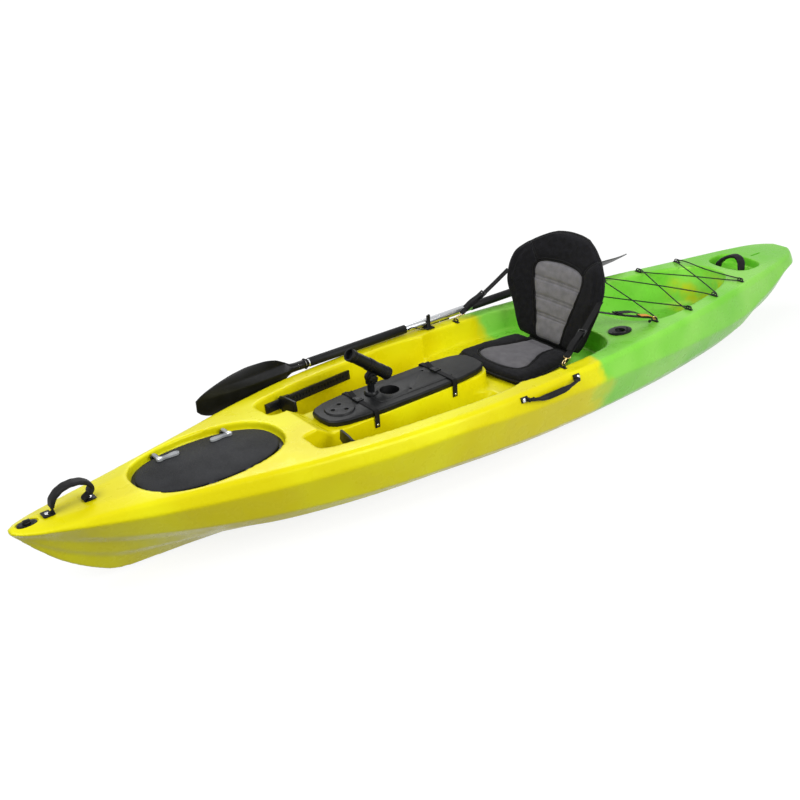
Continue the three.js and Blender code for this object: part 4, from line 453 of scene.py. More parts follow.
def smooth_curve(pairs: Pairs) -> Curve:
    """A smooth curve through [place, value] pairs that never overshoots them.

    Args:
        pairs: places in rising order, each with its value.

    Returns:
        A function of a place or an array of places.
    """
    xs, ys = np.array(pairs, float).T
    steps = np.diff(ys) / np.diff(xs)
    before, after = steps[:-1], steps[1:]
    total = np.where(before * after > 0, before + after, 1.0)
    middle = np.where(before * after > 0, 2 * before * after / total, 0.0)
    slopes = np.concatenate([steps[:1], middle, steps[-1:]])

    def at(place: np.ndarray | float) -> np.ndarray:
        """The curve's value at a place."""
        x = np.clip(place, xs[0], xs[-1])
        i = np.clip(np.searchsorted(xs, x, "right") - 1, 0, len(xs) - 2)
        width = xs[i + 1] - xs[i]
        t = (x - xs[i]) / width
        near = ys[i] * (1 + 2 * t) + slopes[i] * width * t
        far = ys[i + 1] * (3 - 2 * t) + slopes[i + 1] * width * (t - 1)
        return near * (1 - t) ** 2 + far * t**2

    return at


def linked(name: str, data: bpy.types.ID) -> Piece:
    """A new object of that data, in the scene."""
    piece = bpy.data.objects.new(name, data)
    bpy.context.scene.collection.objects.link(piece)
    return piece


def mesh_piece(name: str, points: np.ndarray, faces: Iterable[Sequence[int]],
               material: Material | None = None,
               corner_uvs: np.ndarray | None = None, smooth: bool = True) -> Piece:
    """A mesh object in the scene.

    Args:
        name: the piece's name.
        points: vertices in metres.
        faces: vertex indices of each face.
        material: its finish.
        corner_uvs: one UV for each face corner, in metres.
        smooth: whether its faces are shaded smooth.

    Returns:
        The object, at the origin.
    """
    mesh = bpy.data.meshes.new(name)
    mesh.from_pydata(np.asarray(points, float).tolist(), [], [list(f) for f in faces])
    if corner_uvs is not None:
        layer = mesh.uv_layers.new(name="weave")
        layer.data.foreach_set("uv", np.asarray(corner_uvs, np.float32).ravel())
    if smooth:
        mesh.shade_smooth()
    if material:
        mesh.materials.append(material)
    return linked(name, mesh)


def face_out(mesh: bpy.types.Mesh) -> None:
    """Turns a closed mesh's faces to point out."""
    work = bmesh.new()
    work.from_mesh(mesh)
    bmesh.ops.recalc_face_normals(work, faces=work.faces)
    work.to_mesh(mesh)
    work.free()


def loft(name: str, rings: np.ndarray, material: Material | None = None,
         smooth: bool = True) -> Piece:
    """A closed body through rings of equally many points, with UVs in metres along and round it.

    Args:
        name: the piece's name.
        rings: array of rings, points and coordinates, in metres.
        material: its finish.
        smooth: whether it is shaded smooth.

    Returns:
        The object.
    """
    rings = np.asarray(rings, float)
    count, around = rings.shape[:2]
    points = [*rings.reshape(-1, 3), rings[0].mean(0), rings[-1].mean(0)]
    lengths = np.linalg.norm(np.diff(rings, axis=0), axis=2).mean(1)
    along = np.concatenate([[0], np.cumsum(lengths)])
    middle = rings[count // 2]
    round_steps = np.linalg.norm(np.roll(middle, -1, 0) - middle, axis=1)
    turn = np.concatenate([[0], np.cumsum(round_steps)])
    faces, uvs = [], []
    for r in range(count - 1):
        for i in range(around):
            j = (i + 1) % around
            faces.append((r * around + i, r * around + j, (r + 1) * around + j, (r + 1) * around + i))
            uvs += [(turn[i], along[r]), (turn[i + 1], along[r]), (turn[i + 1], along[r + 1]),
                    (turn[i], along[r + 1])]
    for ring, tip, flip in ((0, len(points) - 2, True), (count - 1, len(points) - 1, False)):
        for i in range(around):
            pair = (ring * around + i, ring * around + (i + 1) % around)
            faces.append((tip, *(pair[::-1] if flip else pair)))
            uvs += [(turn[i], along[ring])] * 3
    piece = mesh_piece(name, points, faces, material, uvs, smooth)
    face_out(piece.data)
    return piece


def even_path(points: Sequence[Sequence[float]], step: float) -> np.ndarray:
    """A smooth path through points, sampled about every step metres.

    Args:
        points: the points in metres.
        step: the spacing.

    Returns:
        An array of points.
    """
    p = np.asarray(points, float)
    p = np.vstack([2 * p[0] - p[1], p, 2 * p[-1] - p[-2]])
    dense = []
    for i in range(1, len(p) - 2):
        a, b, c, d = p[i - 1 : i + 3]
        gaps = np.maximum(np.linalg.norm(np.diff(p[i - 1 : i + 3], axis=0), axis=1), 1e-9) ** 0.5
        t0, t1, t2, t3 = 0.0, gaps[0], gaps[0] + gaps[1], gaps.sum()
        for t in np.linspace(t1, t2, 16, endpoint=False):
            ab = a + (b - a) * (t - t0) / (t1 - t0)
            bc = b + (c - b) * (t - t1) / (t2 - t1)
            cd = c + (d - c) * (t - t2) / (t3 - t2)
            abc = ab + (bc - ab) * (t - t0) / (t2 - t0)
            bcd = bc + (cd - bc) * (t - t1) / (t3 - t1)
            dense.append(abc + (bcd - abc) * (t - t1) / (t2 - t1))
    dense.append(p[-2])
    dense = np.array(dense)
    place = np.concatenate([[0], np.cumsum(np.linalg.norm(np.diff(dense, axis=0), axis=1))])
    wanted = np.linspace(0, place[-1], max(2, int(round(place[-1] / step)) + 1))
    return np.column_stack([np.interp(wanted, place, dense[:, k]) for k in range(3)])


def sweep(name: str, path: np.ndarray, section: Pairs, across: Sequence[float] | np.ndarray | None,
          material: Material | None = None, scale: np.ndarray | None = None) -> Piece:
    """A closed strip or cord: a section carried along a path.

    Args:
        name: the piece's name.
        path: centre points in metres.
        section: points of the section, across and up, in metres.
        across: the direction of the section's width, for all points or for each; None carries it untwisted.
        material: its finish.
        scale: a factor for the section at each point.

    Returns:
        The object.
    """
    path = np.asarray(path, float)
    ahead = np.gradient(path, axis=0)
    ahead /= np.linalg.norm(ahead, axis=1)[:, None]
    if across is None:
        start = np.cross(ahead[0], (0, 0, 1.0) if abs(ahead[0][2]) < 0.9 else (0, 1.0, 0))
        sides = [start]
        for direction in ahead[1:]:
            sides.append(sides[-1] - direction * (sides[-1] @ direction))
        sides = np.array(sides)
    else:
        sides = np.broadcast_to(np.asarray(across, float), path.shape).copy()
        sides -= ahead * (sides * ahead).sum(1)[:, None]
    sides /= np.linalg.norm(sides, axis=1)[:, None]
    ups = np.cross(ahead, sides)
    size = np.ones(len(path)) if scale is None else np.asarray(scale, float)
    flat = np.asarray(section, float)
    reach = flat[None, :, :1] * sides[:, None] + flat[None, :, 1:] * ups[:, None]
    return loft(name, path[:, None] + size[:, None, None] * reach, material)


def flat_section(width: float, thickness: float) -> list[tuple[float, float]]:
    """The section of a webbing strap: flat, with rounded edges."""
    w, t = width / 2, thickness / 2
    edge = [(w, 0.0), (w - t * 0.3, t * 0.75), (w - t, t)]
    top = [*edge, (w * 0.5, t), (0.0, t), (-w * 0.5, t), *[(-x, y) for x, y in edge[::-1]]]
    return [*top, *[(x, -y) for x, y in top[-2:0:-1]]]


def round_section(radius: float, sides: int = 12) -> list[tuple[float, float]]:
    """The section of a round cord."""
    return [(radius * math.cos(a), radius * math.sin(a))
            for a in np.linspace(0, 2 * math.pi, sides, endpoint=False)]


def turned(name: str, profile: Pairs, centre: Sequence[float], axis: Sequence[float],
           material: Material, sides: int = 40) -> Piece:
    """A lathed body.

    Args:
        name: the piece's name.
        profile: places along the axis with their radii, in metres; the first and last are capped.
        centre: the axis' zero.
        axis: its direction.
        material: its finish.
        sides: how many sides it has round.

    Returns:
        The object.
    """
    along = Vector(axis).normalized()
    side = along.orthogonal().normalized()
    up = along.cross(side)
    angles = np.linspace(0, 2 * math.pi, sides, endpoint=False)
    wheel = np.outer(np.cos(angles), side) + np.outer(np.sin(angles), up)
    zero, ahead = np.array(centre), np.array(along)
    rings = [zero + ahead * place + wheel * radius for place, radius in profile]
    piece = loft(name, np.array(rings), material)
    piece.data.set_sharp_from_angle(angle=math.radians(40))
    return piece


def block(size: Sequence[float], centre: Sequence[float], turn: Matrix | None = None,
          bevel: float = 0.0008) -> bmesh.types.BMesh:
    """A block with rounded edges, as a bmesh to be joined with others."""
    work = bmesh.new()
    bmesh.ops.create_cube(work, size=1)
    bmesh.ops.scale(work, vec=size, verts=work.verts)
    bmesh.ops.bevel(work, geom=work.edges[:], offset=min(bevel, min(size) * 0.3), segments=2, affect="EDGES",
                    profile=0.6)
    place = Matrix.Translation(centre) @ (turn.to_4x4() if turn else Matrix.Identity(4))
    bmesh.ops.transform(work, matrix=place, verts=work.verts)
    return work


def joined(name: str, works: Sequence[bmesh.types.BMesh], material: Material) -> Piece:
    """One piece from several bmeshes, which are freed."""
    mesh = bpy.data.meshes.new(name)
    total = bmesh.new()
    for work in works:
        part = bpy.data.meshes.new("part")
        work.to_mesh(part)
        total.from_mesh(part)
        bpy.data.meshes.remove(part)
        work.free()
    total.to_mesh(mesh)
    total.free()
    mesh.shade_smooth()
    mesh.set_sharp_from_angle(angle=math.radians(40))
    mesh.materials.append(material)
    return linked(name, mesh)


def merge(name: str, pieces: Sequence[Piece]) -> Piece:
    """Several pieces joined into one that keeps their materials and is shaded smooth."""
    mesh = bpy.data.meshes.new(name)
    total = bmesh.new()
    total.loops.layers.uv.new("weave")
    materials: list[Material] = []
    for piece in pieces:
        start = len(total.faces)
        if "weave" not in piece.data.uv_layers:
            piece.data.uv_layers.new(name="weave")
        total.from_mesh(piece.data)
        total.faces.ensure_lookup_table()
        slots = []
        for material in piece.data.materials:
            if material not in materials:
                materials.append(material)
            slots.append(materials.index(material))
        for face in total.faces[start:]:
            face.material_index = slots[min(face.material_index, len(slots) - 1)]
    total.to_mesh(mesh)
    total.free()
    for material in materials:
        mesh.materials.append(material)
    for piece in pieces:
        bpy.data.objects.remove(piece)
    mesh.shade_smooth()
    return linked(name, mesh)


def applied(piece: Piece) -> Piece:
    """The piece with its modifiers made part of its mesh."""
    bpy.context.view_layer.update()
    depsgraph = bpy.context.evaluated_depsgraph_get()
    mesh = bpy.data.meshes.new_from_object(piece.evaluated_get(depsgraph))
    piece.modifiers.clear()
    old = piece.data
    piece.data = mesh
    mesh.name = piece.name
    bpy.data.meshes.remove(old)
    return piece


def cut(piece: Piece, tool: Piece) -> None:
    """Cuts a piece by a tool, and removes the tool."""
    step = piece.modifiers.new("cut", "BOOLEAN")
    step.operation = "DIFFERENCE"
    step.solver = "MANIFOLD"
    step.object = tool
    applied(piece)
    bpy.data.objects.remove(tool)


class Stamp:
    """A Geometry Nodes tree that sets copies of a small shape on points, each turned its own way."""

    def __init__(self) -> None:
        """Builds the tree with its named inputs: the shape, its size and its material."""
        tree = bpy.data.node_groups.new("stamp_along_points", "GeometryNodeTree")
        face = tree.interface
        face.new_socket("Points", in_out="INPUT", socket_type="NodeSocketGeometry")
        self.shape = face.new_socket("Shape", in_out="INPUT", socket_type="NodeSocketObject").identifier
        self.size = face.new_socket("Size", in_out="INPUT", socket_type="NodeSocketFloat").identifier
        self.finish = face.new_socket("Finish", in_out="INPUT", socket_type="NodeSocketMaterial").identifier
        face.new_socket("Copies", in_out="OUTPUT", socket_type="NodeSocketGeometry")
        given = add_node(tree, "NodeGroupInput")
        shape = add_node(tree, "GeometryNodeObjectInfo", {"Object": given.outputs["Shape"]})
        facing = add_node(tree, "GeometryNodeInputNamedAttribute", {"Name": "facing"},
                          data_type="FLOAT_VECTOR")
        turn = add_node(tree, "FunctionNodeAlignRotationToVector", {"Vector": facing.outputs["Attribute"]},
                        axis="Z")
        stamped = add_node(tree, "GeometryNodeInstanceOnPoints", {
            "Points": given.outputs["Points"], "Instance": shape.outputs["Geometry"],
            "Rotation": turn.outputs["Rotation"], "Scale": given.outputs["Size"]})
        real = add_node(tree, "GeometryNodeRealizeInstances", {"Geometry": stamped.outputs["Instances"]})
        dressed = add_node(tree, "GeometryNodeSetMaterial",
                           {"Geometry": real.outputs["Geometry"], "Material": given.outputs["Finish"]})
        add_node(tree, "NodeGroupOutput", {"Copies": dressed.outputs["Geometry"]})
        self.tree = tree

    def set(self, name: str, points: np.ndarray, facing: np.ndarray, shape: Piece, size: float,
            material: Material) -> Piece:
        """Copies the shape to every point.

        Args:
            name: the new piece's name.
            points: where the copies go, in metres.
            facing: the direction of each copy's own Z.
            shape: what is copied; it is left alone.
            size: a factor on its size.
            material: the copies' finish.

        Returns:
            One plain mesh object.
        """
        piece = mesh_piece(name, points, [], None, None, False)
        layer = piece.data.attributes.new("facing", "FLOAT_VECTOR", "POINT")
        layer.data.foreach_set("vector", np.asarray(facing, np.float32).ravel())
        step = piece.modifiers.new("stamp", "NODES")
        step.node_group = self.tree
        step[self.shape] = shape
        step[self.size] = float(size)
        step[self.finish] = material
        applied(piece)
        piece.data.shade_smooth()
        return piece


# The hull's shape: the same tables and names as the part's source, millimetres


def sizes(**values: float) -> dict[str, float]:
    """A dataclass field of named sizes."""
    return field(default_factory=lambda: dict(values))


@dataclass(frozen=True)
class HullLines:
    """The hull's sizes, and the curves that its sections follow from -1 at the stern to 1 at the bow."""

    length: float = 3660
    half_beam: float = 385
    depth: float = 297
    keel_half_width: float = 60
    bow_crown: float = 9
    keel_limit: float = 0.25
    draft: float = 0.15
    beam: Pairs = (
        (-1, 0.14), (-0.98, 0.25), (-0.95, 0.335), (-0.7, 0.615), (-0.5, 0.79), (-0.3, 0.91),
        (-0.1, 0.98), (0.1, 1), (0.3, 0.935), (0.5, 0.77), (0.65, 0.59), (0.82, 0.37), (0.92, 0.235),
        (0.97, 0.15), (0.99, 0.095), (1, 0.04))
    rim_beam: Pairs = (
        (-1, 0.66), (-0.93, 0.78), (-0.69, 0.85), (-0.4, 0.9), (0, 0.92), (0.4, 0.92), (0.64, 0.87),
        (0.82, 0.8), (1, 0.7))
    rim_height: Pairs = (
        (-1, 0.899), (-0.7, 0.916), (-0.35, 0.945), (0, 0.981), (0.4, 1), (0.7, 0.987), (1, 0.975))
    knuckle_height: Pairs = (
        (-1, 0.76), (-0.955, 0.77), (-0.91, 0.76), (-0.85, 0.66), (-0.78, 0.56), (-0.69, 0.485),
        (-0.49, 0.562), (-0.33, 0.63), (-0.19, 0.687), (0.04, 0.761), (0.24, 0.828), (0.57, 0.815),
        (0.77, 0.852), (0.945, 0.943), (1, 0.957))
    chine_beam: Pairs = (
        (-1, 0.86), (-0.5, 0.91), (0.4, 0.915), (0.6, 0.88), (0.77, 0.8), (0.86, 0.74), (1, 0.6))
    chine_height: Pairs = (
        (-1, 0.69), (-0.955, 0.71), (-0.91, 0.64), (-0.85, 0.51), (-0.78, 0.43), (-0.69, 0.29),
        (-0.25, 0.28), (0, 0.32), (0.22, 0.387), (0.4, 0.411), (0.56, 0.444), (0.67, 0.488),
        (0.77, 0.569), (0.86, 0.68), (0.95, 0.87), (1, 0.95))
    bilge_beam: Pairs = (
        (-1, 0.6), (-0.69, 0.74), (-0.25, 0.8), (0.4, 0.8), (0.6, 0.73), (0.71, 0.63), (0.86, 0.5),
        (1, 0.4))
    bilge_height: Pairs = (
        (-1, 0.62), (-0.955, 0.52), (-0.91, 0.4), (-0.85, 0.31), (-0.78, 0.26), (-0.69, 0.145),
        (-0.6, 0.12), (-0.4, 0.128), (-0.25, 0.148), (0, 0.185), (0.11, 0.222), (0.3, 0.273),
        (0.55, 0.29), (0.69, 0.38), (0.8, 0.49), (0.9, 0.67), (1, 0.948))
    keel_height: Pairs = (
        (-1, 0.57), (-0.984, 0.47), (-0.956, 0.3), (-0.918, 0.17), (-0.874, 0.067), (-0.8, 0.006),
        (-0.76, 0), (0.5, 0), (0.58, 0.01), (0.67, 0.03), (0.756, 0.055), (0.8, 0.065), (0.839, 0.095),
        (0.863, 0.16), (0.918, 0.385), (0.96, 0.64), (0.978, 0.775), (1, 0.945))
    crown: Pairs = (
        (-1, 0), (0.46, 0), (0.6, 0.6), (0.8, 1), (1, 0.6))
    keel_width: Pairs = (
        (-1, 0.5), (-0.85, 0.7), (-0.6, 1), (0.3, 1), (0.45, 0.8), (0.6, 0.25), (0.7, 0.12), (1, 0.06))
    channels: Pairs = ((0.4, 0.44), (0.66, 0.62))
    shoulder: tuple[float, float] = (0.42, 0.84)
    cockpit: dict[str, float] = sizes(rear=-452, front=150, rim=56, floor=198, square=5)
    footwell: dict[str, float] = sizes(rear=58, front=884, floor=62, heel=110, toe=72, fillet=26, square=8)
    pod: dict[str, float] = sizes(rear=36, front=756, half=95, top=259, slope=0.05, bow_slope=92, spread=30,
                                  square=3.4)
    trough: dict[str, float] = sizes(rear=96, front=706, half=60, floor=108, square=5)
    tank: dict[str, float] = sizes(rear=-1372, front=-604, rim=56, floor=102, rear_ramp=70, front_ramp=24,
                                   fillet=24, square=3)
    scoop: dict[str, float] = sizes(rear=-1572, front=-1404, half=104, floor=229, square=3)
    recess: dict[str, float] = sizes(length=264, width=166, floor=265)
    mouth: dict[str, float] = sizes(length=222, width=114, floor=152)
    flush: dict[str, float] = sizes(x=-522, y=204, tilt=12, bore=24.2, deep=160, over=30)
    hatch_x: float = 1174
    plug: dict[str, float] = sizes(x=1773, length=35, width=21, sink=4, hole=11.6)
    slot: dict[str, float] = sizes(x=-1640, length=32, width=5, floor=248)
    scuppers: Pairs = ((352, 172), (-800, 110))
    scupper: dict[str, float] = sizes(low=15, high=21)
    overrun: float = 20


@dataclass
class Hull:
    """The rotomoulded hull, with every pan, recess and rounded edge of the deck."""

    finishes: Finishes
    lines: HullLines = field(default_factory=HullLines)
    voxel: float = 0.0056
    quick_voxel: float = 0.008
    most_triangles: int = 188000
    kept_triangles: int = 186000

    def __post_init__(self) -> None:
        """Makes the section curves."""
        n = self.lines
        self.beam, self.rim_beam, self.rim_height = map(smooth_curve, (n.beam, n.rim_beam, n.rim_height))
        self.knuckle_height, self.crown = smooth_curve(n.knuckle_height), smooth_curve(n.crown)
        self.chine_beam, self.chine_height = smooth_curve(n.chine_beam), smooth_curve(n.chine_height)
        self.bilge_beam, self.bilge_height = smooth_curve(n.bilge_beam), smooth_curve(n.bilge_height)
        self.keel_height, self.keel_width = smooth_curve(n.keel_height), smooth_curve(n.keel_width)

    def rim_y(self, x: np.ndarray | float) -> np.ndarray:
        """Half the deck's width at its rim."""
        along = np.asarray(x) / (self.lines.length / 2)
        return self.lines.half_beam * self.beam(along) * self.rim_beam(along)

    def deck_z(self, x: np.ndarray | float) -> np.ndarray:
        """The deck's height on the centre line."""
        along = np.asarray(x) / (self.lines.length / 2)
        return self.lines.depth * self.rim_height(along) + self.lines.bow_crown * self.crown(along)

    def ring(self, along: float) -> list[tuple[float, float, float]]:
        """The outer section at a place along the hull."""
        n = self.lines
        x = along * n.length / 2
        widest = n.half_beam * float(self.beam(along))
        keel_z = n.depth * float(self.keel_height(along))
        bilge = (widest * float(self.bilge_beam(along)), n.depth * float(self.bilge_height(along)))
        knuckle = (widest, n.depth * float(self.knuckle_height(along)))
        rim = (widest * float(self.rim_beam(along)), n.depth * float(self.rim_height(along)))
        deck = rim[1] + n.bow_crown * float(self.crown(along))
        keel_half = min(n.keel_half_width * float(self.keel_width(along)), bilge[0] * n.keel_limit)
        half = [(keel_half, keel_z)]
        half += [(bilge[0] * out, keel_z + (bilge[1] - keel_z) * up) for out, up in n.channels]
        half += [bilge, (widest * float(self.chine_beam(along)), n.depth * float(self.chine_height(along))),
                 knuckle]
        half += [(rim[0] + (knuckle[0] - rim[0]) * n.shoulder[0],
                  knuckle[1] + (rim[1] - knuckle[1]) * n.shoulder[1])]
        half += [rim, (rim[0] / 2, deck)]
        return [(x, 0.0, keel_z), *[(x, y, z) for y, z in half], (x, 0.0, deck),
                *[(x, -y, z) for y, z in half[::-1]]]

    def wall_y(self, x: np.ndarray, z: float) -> np.ndarray:
        """Where the cockpit's and the footwells' outer wall is."""
        n = self.lines
        return self.rim_y(x) - n.cockpit["rim"] - (n.depth - z) * n.draft

    def pod_y(self, z: float) -> float:
        """Half the pod's width at a height."""
        return self.lines.pod["half"] + (self.lines.pod["top"] - z) * self.lines.pod["slope"]

    def outline(self, rear: float, front: float, inner: Curve, outer: Curve, squareness: float) -> np.ndarray:
        """Points of a round-cornered outline whose long sides follow two curves."""
        turn = np.linspace(0, math.pi, 44)
        share = np.sign(np.cos(turn)) * np.abs(np.cos(turn)) ** (2 / squareness)
        bulge = np.abs(np.sin(turn)) ** (2 / squareness)
        x = (rear + front) / 2 + (front - rear) / 2 * share
        centre, reach = (inner(x) + outer(x)) / 2, (outer(x) - inner(x)) / 2
        up = np.column_stack([x, centre + reach * bulge])
        down = np.column_stack([x, centre - reach * bulge])
        return np.vstack([up, down[-2:0:-1]])

    def pan(self, name: str, levels: Sequence[tuple[float, np.ndarray]]) -> Piece:
        """A cutter through outlines, each at its height, in millimetres."""
        rings = [np.column_stack([points, np.full(len(points), z)]) for z, points in levels]
        return loft(name, np.array(rings) * MM, None, False)

    def flat_pan(self, name: str, place: dict, low: float, high: float) -> Piece:
        """A cutter with one outline of constant width."""
        near, far = (lambda x: x * 0 - place["half"]), (lambda x: x * 0 + place["half"])
        points = self.outline(place["rear"], place["front"], near, far, place["square"])
        return self.pan(name, [(high, points), (low, points)])

    def oval(self, name: str, half_length: float, half_width: float, low: float, high: float, x: float,
             squareness: float = 2.3) -> Piece:
        """An upright oval cutter centred at x."""
        turn = np.linspace(0, 2 * math.pi, 72, endpoint=False)
        reach = (np.abs(np.cos(turn)) ** squareness + np.abs(np.sin(turn)) ** squareness) ** (-1 / squareness)
        points = np.column_stack([x + half_length * reach * np.cos(turn), half_width * reach * np.sin(turn)])
        return self.pan(name, [(high, points), (low, points)])

    def tube(self, name: str, low: Sequence[float], high: Sequence[float],
             radii: tuple[float, float]) -> Piece:
        """A round cutter between two points, in millimetres."""
        a, b = Vector(low) * MM, Vector(high) * MM
        # the cutter is made with the near-black painted-shade material, which is cleared at once
        piece = turned(name, [(0, radii[0] * MM), ((b - a).length, radii[1] * MM)], a, b - a,
                       self.finishes.dark, 36)
        piece.data.materials.clear()
        return piece

    def rounded_body(self) -> Piece:
        """The closed outer form with its pans, its edges rounded as a thick moulding's are."""
        n = self.lines
        high = n.depth + n.overrun
        stations = np.unique(np.concatenate([np.linspace(-1, -0.9, 16), np.linspace(-0.9, 0.9, 110),
                                             np.linspace(0.9, 1, 20)]))
        body = loft("hull_shell", np.array([self.ring(float(a)) for a in stations]) * MM, None, False)
        c, f, t = n.cockpit, n.footwell, n.tank
        seat_levels = []
        for z in (high, c["floor"]):
            near, far = (lambda x, z=z: -self.wall_y(x, z)), (lambda x, z=z: self.wall_y(x, z))
            seat_levels.append((z, self.outline(c["rear"], c["front"], near, far, c["square"])))
        seat = self.pan("seat_cut", seat_levels)
        pod_levels = []
        for z in (high, c["floor"] - n.overrun):
            near, far = (lambda x, z=z: x * 0 - self.pod_y(z)), (lambda x, z=z: x * 0 + self.pod_y(z))
            pod_levels.append((z, self.outline(n.pod["rear"], c["front"] * 2, near, far, n.pod["square"])))
        cut(seat, self.pan("pod_block", pod_levels))
        cut(body, seat)
        for side in Side:
            levels = []
            for z, slope, fillet in ((high, 0, 0), (c["floor"], 0.1, 0), (f["floor"] + f["fillet"], 0.85, 0),
                                     (f["floor"], 1, f["fillet"] / 2)):
                near = lambda x, z=z, fillet=fillet: x * 0 + self.pod_y(z) + fillet
                far = lambda x, z=z, fillet=fillet: self.wall_y(x, z) - fillet
                rear, front = f["rear"] + f["heel"] * slope, f["front"] - f["toe"] * slope
                if side is Side.STARBOARD:
                    near, far = (lambda x, far=far: -far(x)), (lambda x, near=near: -near(x))
                levels.append((z, self.outline(rear, front, near, far, f["square"])))
            cut(body, self.pan("foot_cut", levels))
        levels = []
        for z, slope, fillet in ((high, 0, 0), (t["floor"] + t["fillet"], 0.8, 0),
                                 (t["floor"], 1, t["fillet"] / 2)):
            reach = lambda x, z=z, fillet=fillet: self.rim_y(x) - t["rim"] - (n.depth - z) * n.draft - fillet
            rear, front = t["rear"] + t["rear_ramp"] * slope, t["front"] - t["front_ramp"] * slope
            near = lambda x, reach=reach: -reach(x)
            levels.append((z, self.outline(rear, front, near, reach, t["square"])))
        cut(body, self.pan("tank_cut", levels))
        cut(body, self.flat_pan("scoop_cut", n.scoop, n.scoop["floor"], high))
        wide = n.pod["half"] + n.pod["spread"]
        near, far = (lambda x: x * 0 - wide), (lambda x: x * 0 + wide)
        tops = [(z, self.outline(n.pod["rear"] - n.overrun, front, near, far, f["square"] * 2))
                for z, front in ((high, n.pod["front"] + n.pod["bow_slope"]), (n.pod["top"], n.pod["front"]))]
        cut(body, self.pan("pod_top_cut", tops))
        cut(body, self.flat_pan("trough_cut", n.trough, n.trough["floor"], high))
        cut(body, self.oval("hatch_cut", n.recess["length"], n.recess["width"], n.recess["floor"], high,
                            n.hatch_x))
        step = body.modifiers.new("remesh", "REMESH")
        step.mode = "VOXEL"
        step.voxel_size = self.voxel
        smooth = body.modifiers.new("soften", "SMOOTH")
        smooth.factor = 0.5
        smooth.iterations = 4
        return applied(body)

    def build(self) -> Piece:
        """The finished hull."""
        n = self.lines
        body = self.rounded_body()
        high = n.depth + n.overrun
        cut(body, self.oval("mouth_cut", n.mouth["length"], n.mouth["width"], n.mouth["floor"], high,
                            n.hatch_x))
        for x, y in n.scuppers:
            for side in Side:
                low, top = (x, side.value * y, -n.overrun), (x, side.value * y, n.depth - n.overrun)
                cut(body, self.tube("scupper_cut", low, top, (n.scupper["low"], n.scupper["high"])))
        plug, slot = n.plug, n.slot
        seat_z = min(float(self.deck_z(plug["x"] + end * plug["length"])) for end in (-1, 1)) - plug["sink"]
        cut(body, self.oval("plug_seat_cut", plug["length"], plug["width"], seat_z, high, plug["x"]))
        ends = [(plug["x"], 0, seat_z - 26), (plug["x"], 0, seat_z + 10)]
        cut(body, self.tube("plug_hole_cut", *ends, (plug["hole"], plug["hole"])))
        corners = [(slot["x"] + a * slot["length"], b * slot["width"]) for a,
                   b in ((1, 1), (-1, 1), (-1, -1), (1, -1))]
        cut(body,
            self.pan("rudder_slot_cut", [(high, np.array(corners)), (slot["floor"], np.array(corners))]))
        for side in Side:
            lean = math.radians(n.flush["tilt"])
            rim = n.depth * float(self.rim_height(n.flush["x"] / (n.length / 2)))
            ends = [(n.flush["x"] - k * math.sin(lean), side.value * n.flush["y"], rim + k * math.cos(lean))
                    for k in (-n.flush["deep"], n.flush["over"])]
            cut(body, self.tube("flush_cut", *ends, (n.flush["bore"], n.flush["bore"])))
        count = sum(len(p.vertices) - 2 for p in body.data.polygons)
        if count > self.most_triangles:
            step = body.modifiers.new("thin", "DECIMATE")
            step.ratio = self.kept_triangles / count
            applied(body)
        body.data.materials.clear()
        body.data.materials.append(self.finishes.hull)
        body.data.polygons.foreach_set("material_index", [0] * len(body.data.polygons))
        body.data.shade_smooth()
        body.data.set_sharp_from_angle(angle=math.radians(50))
        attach(body, "hull")
        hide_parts("hull")
        return body


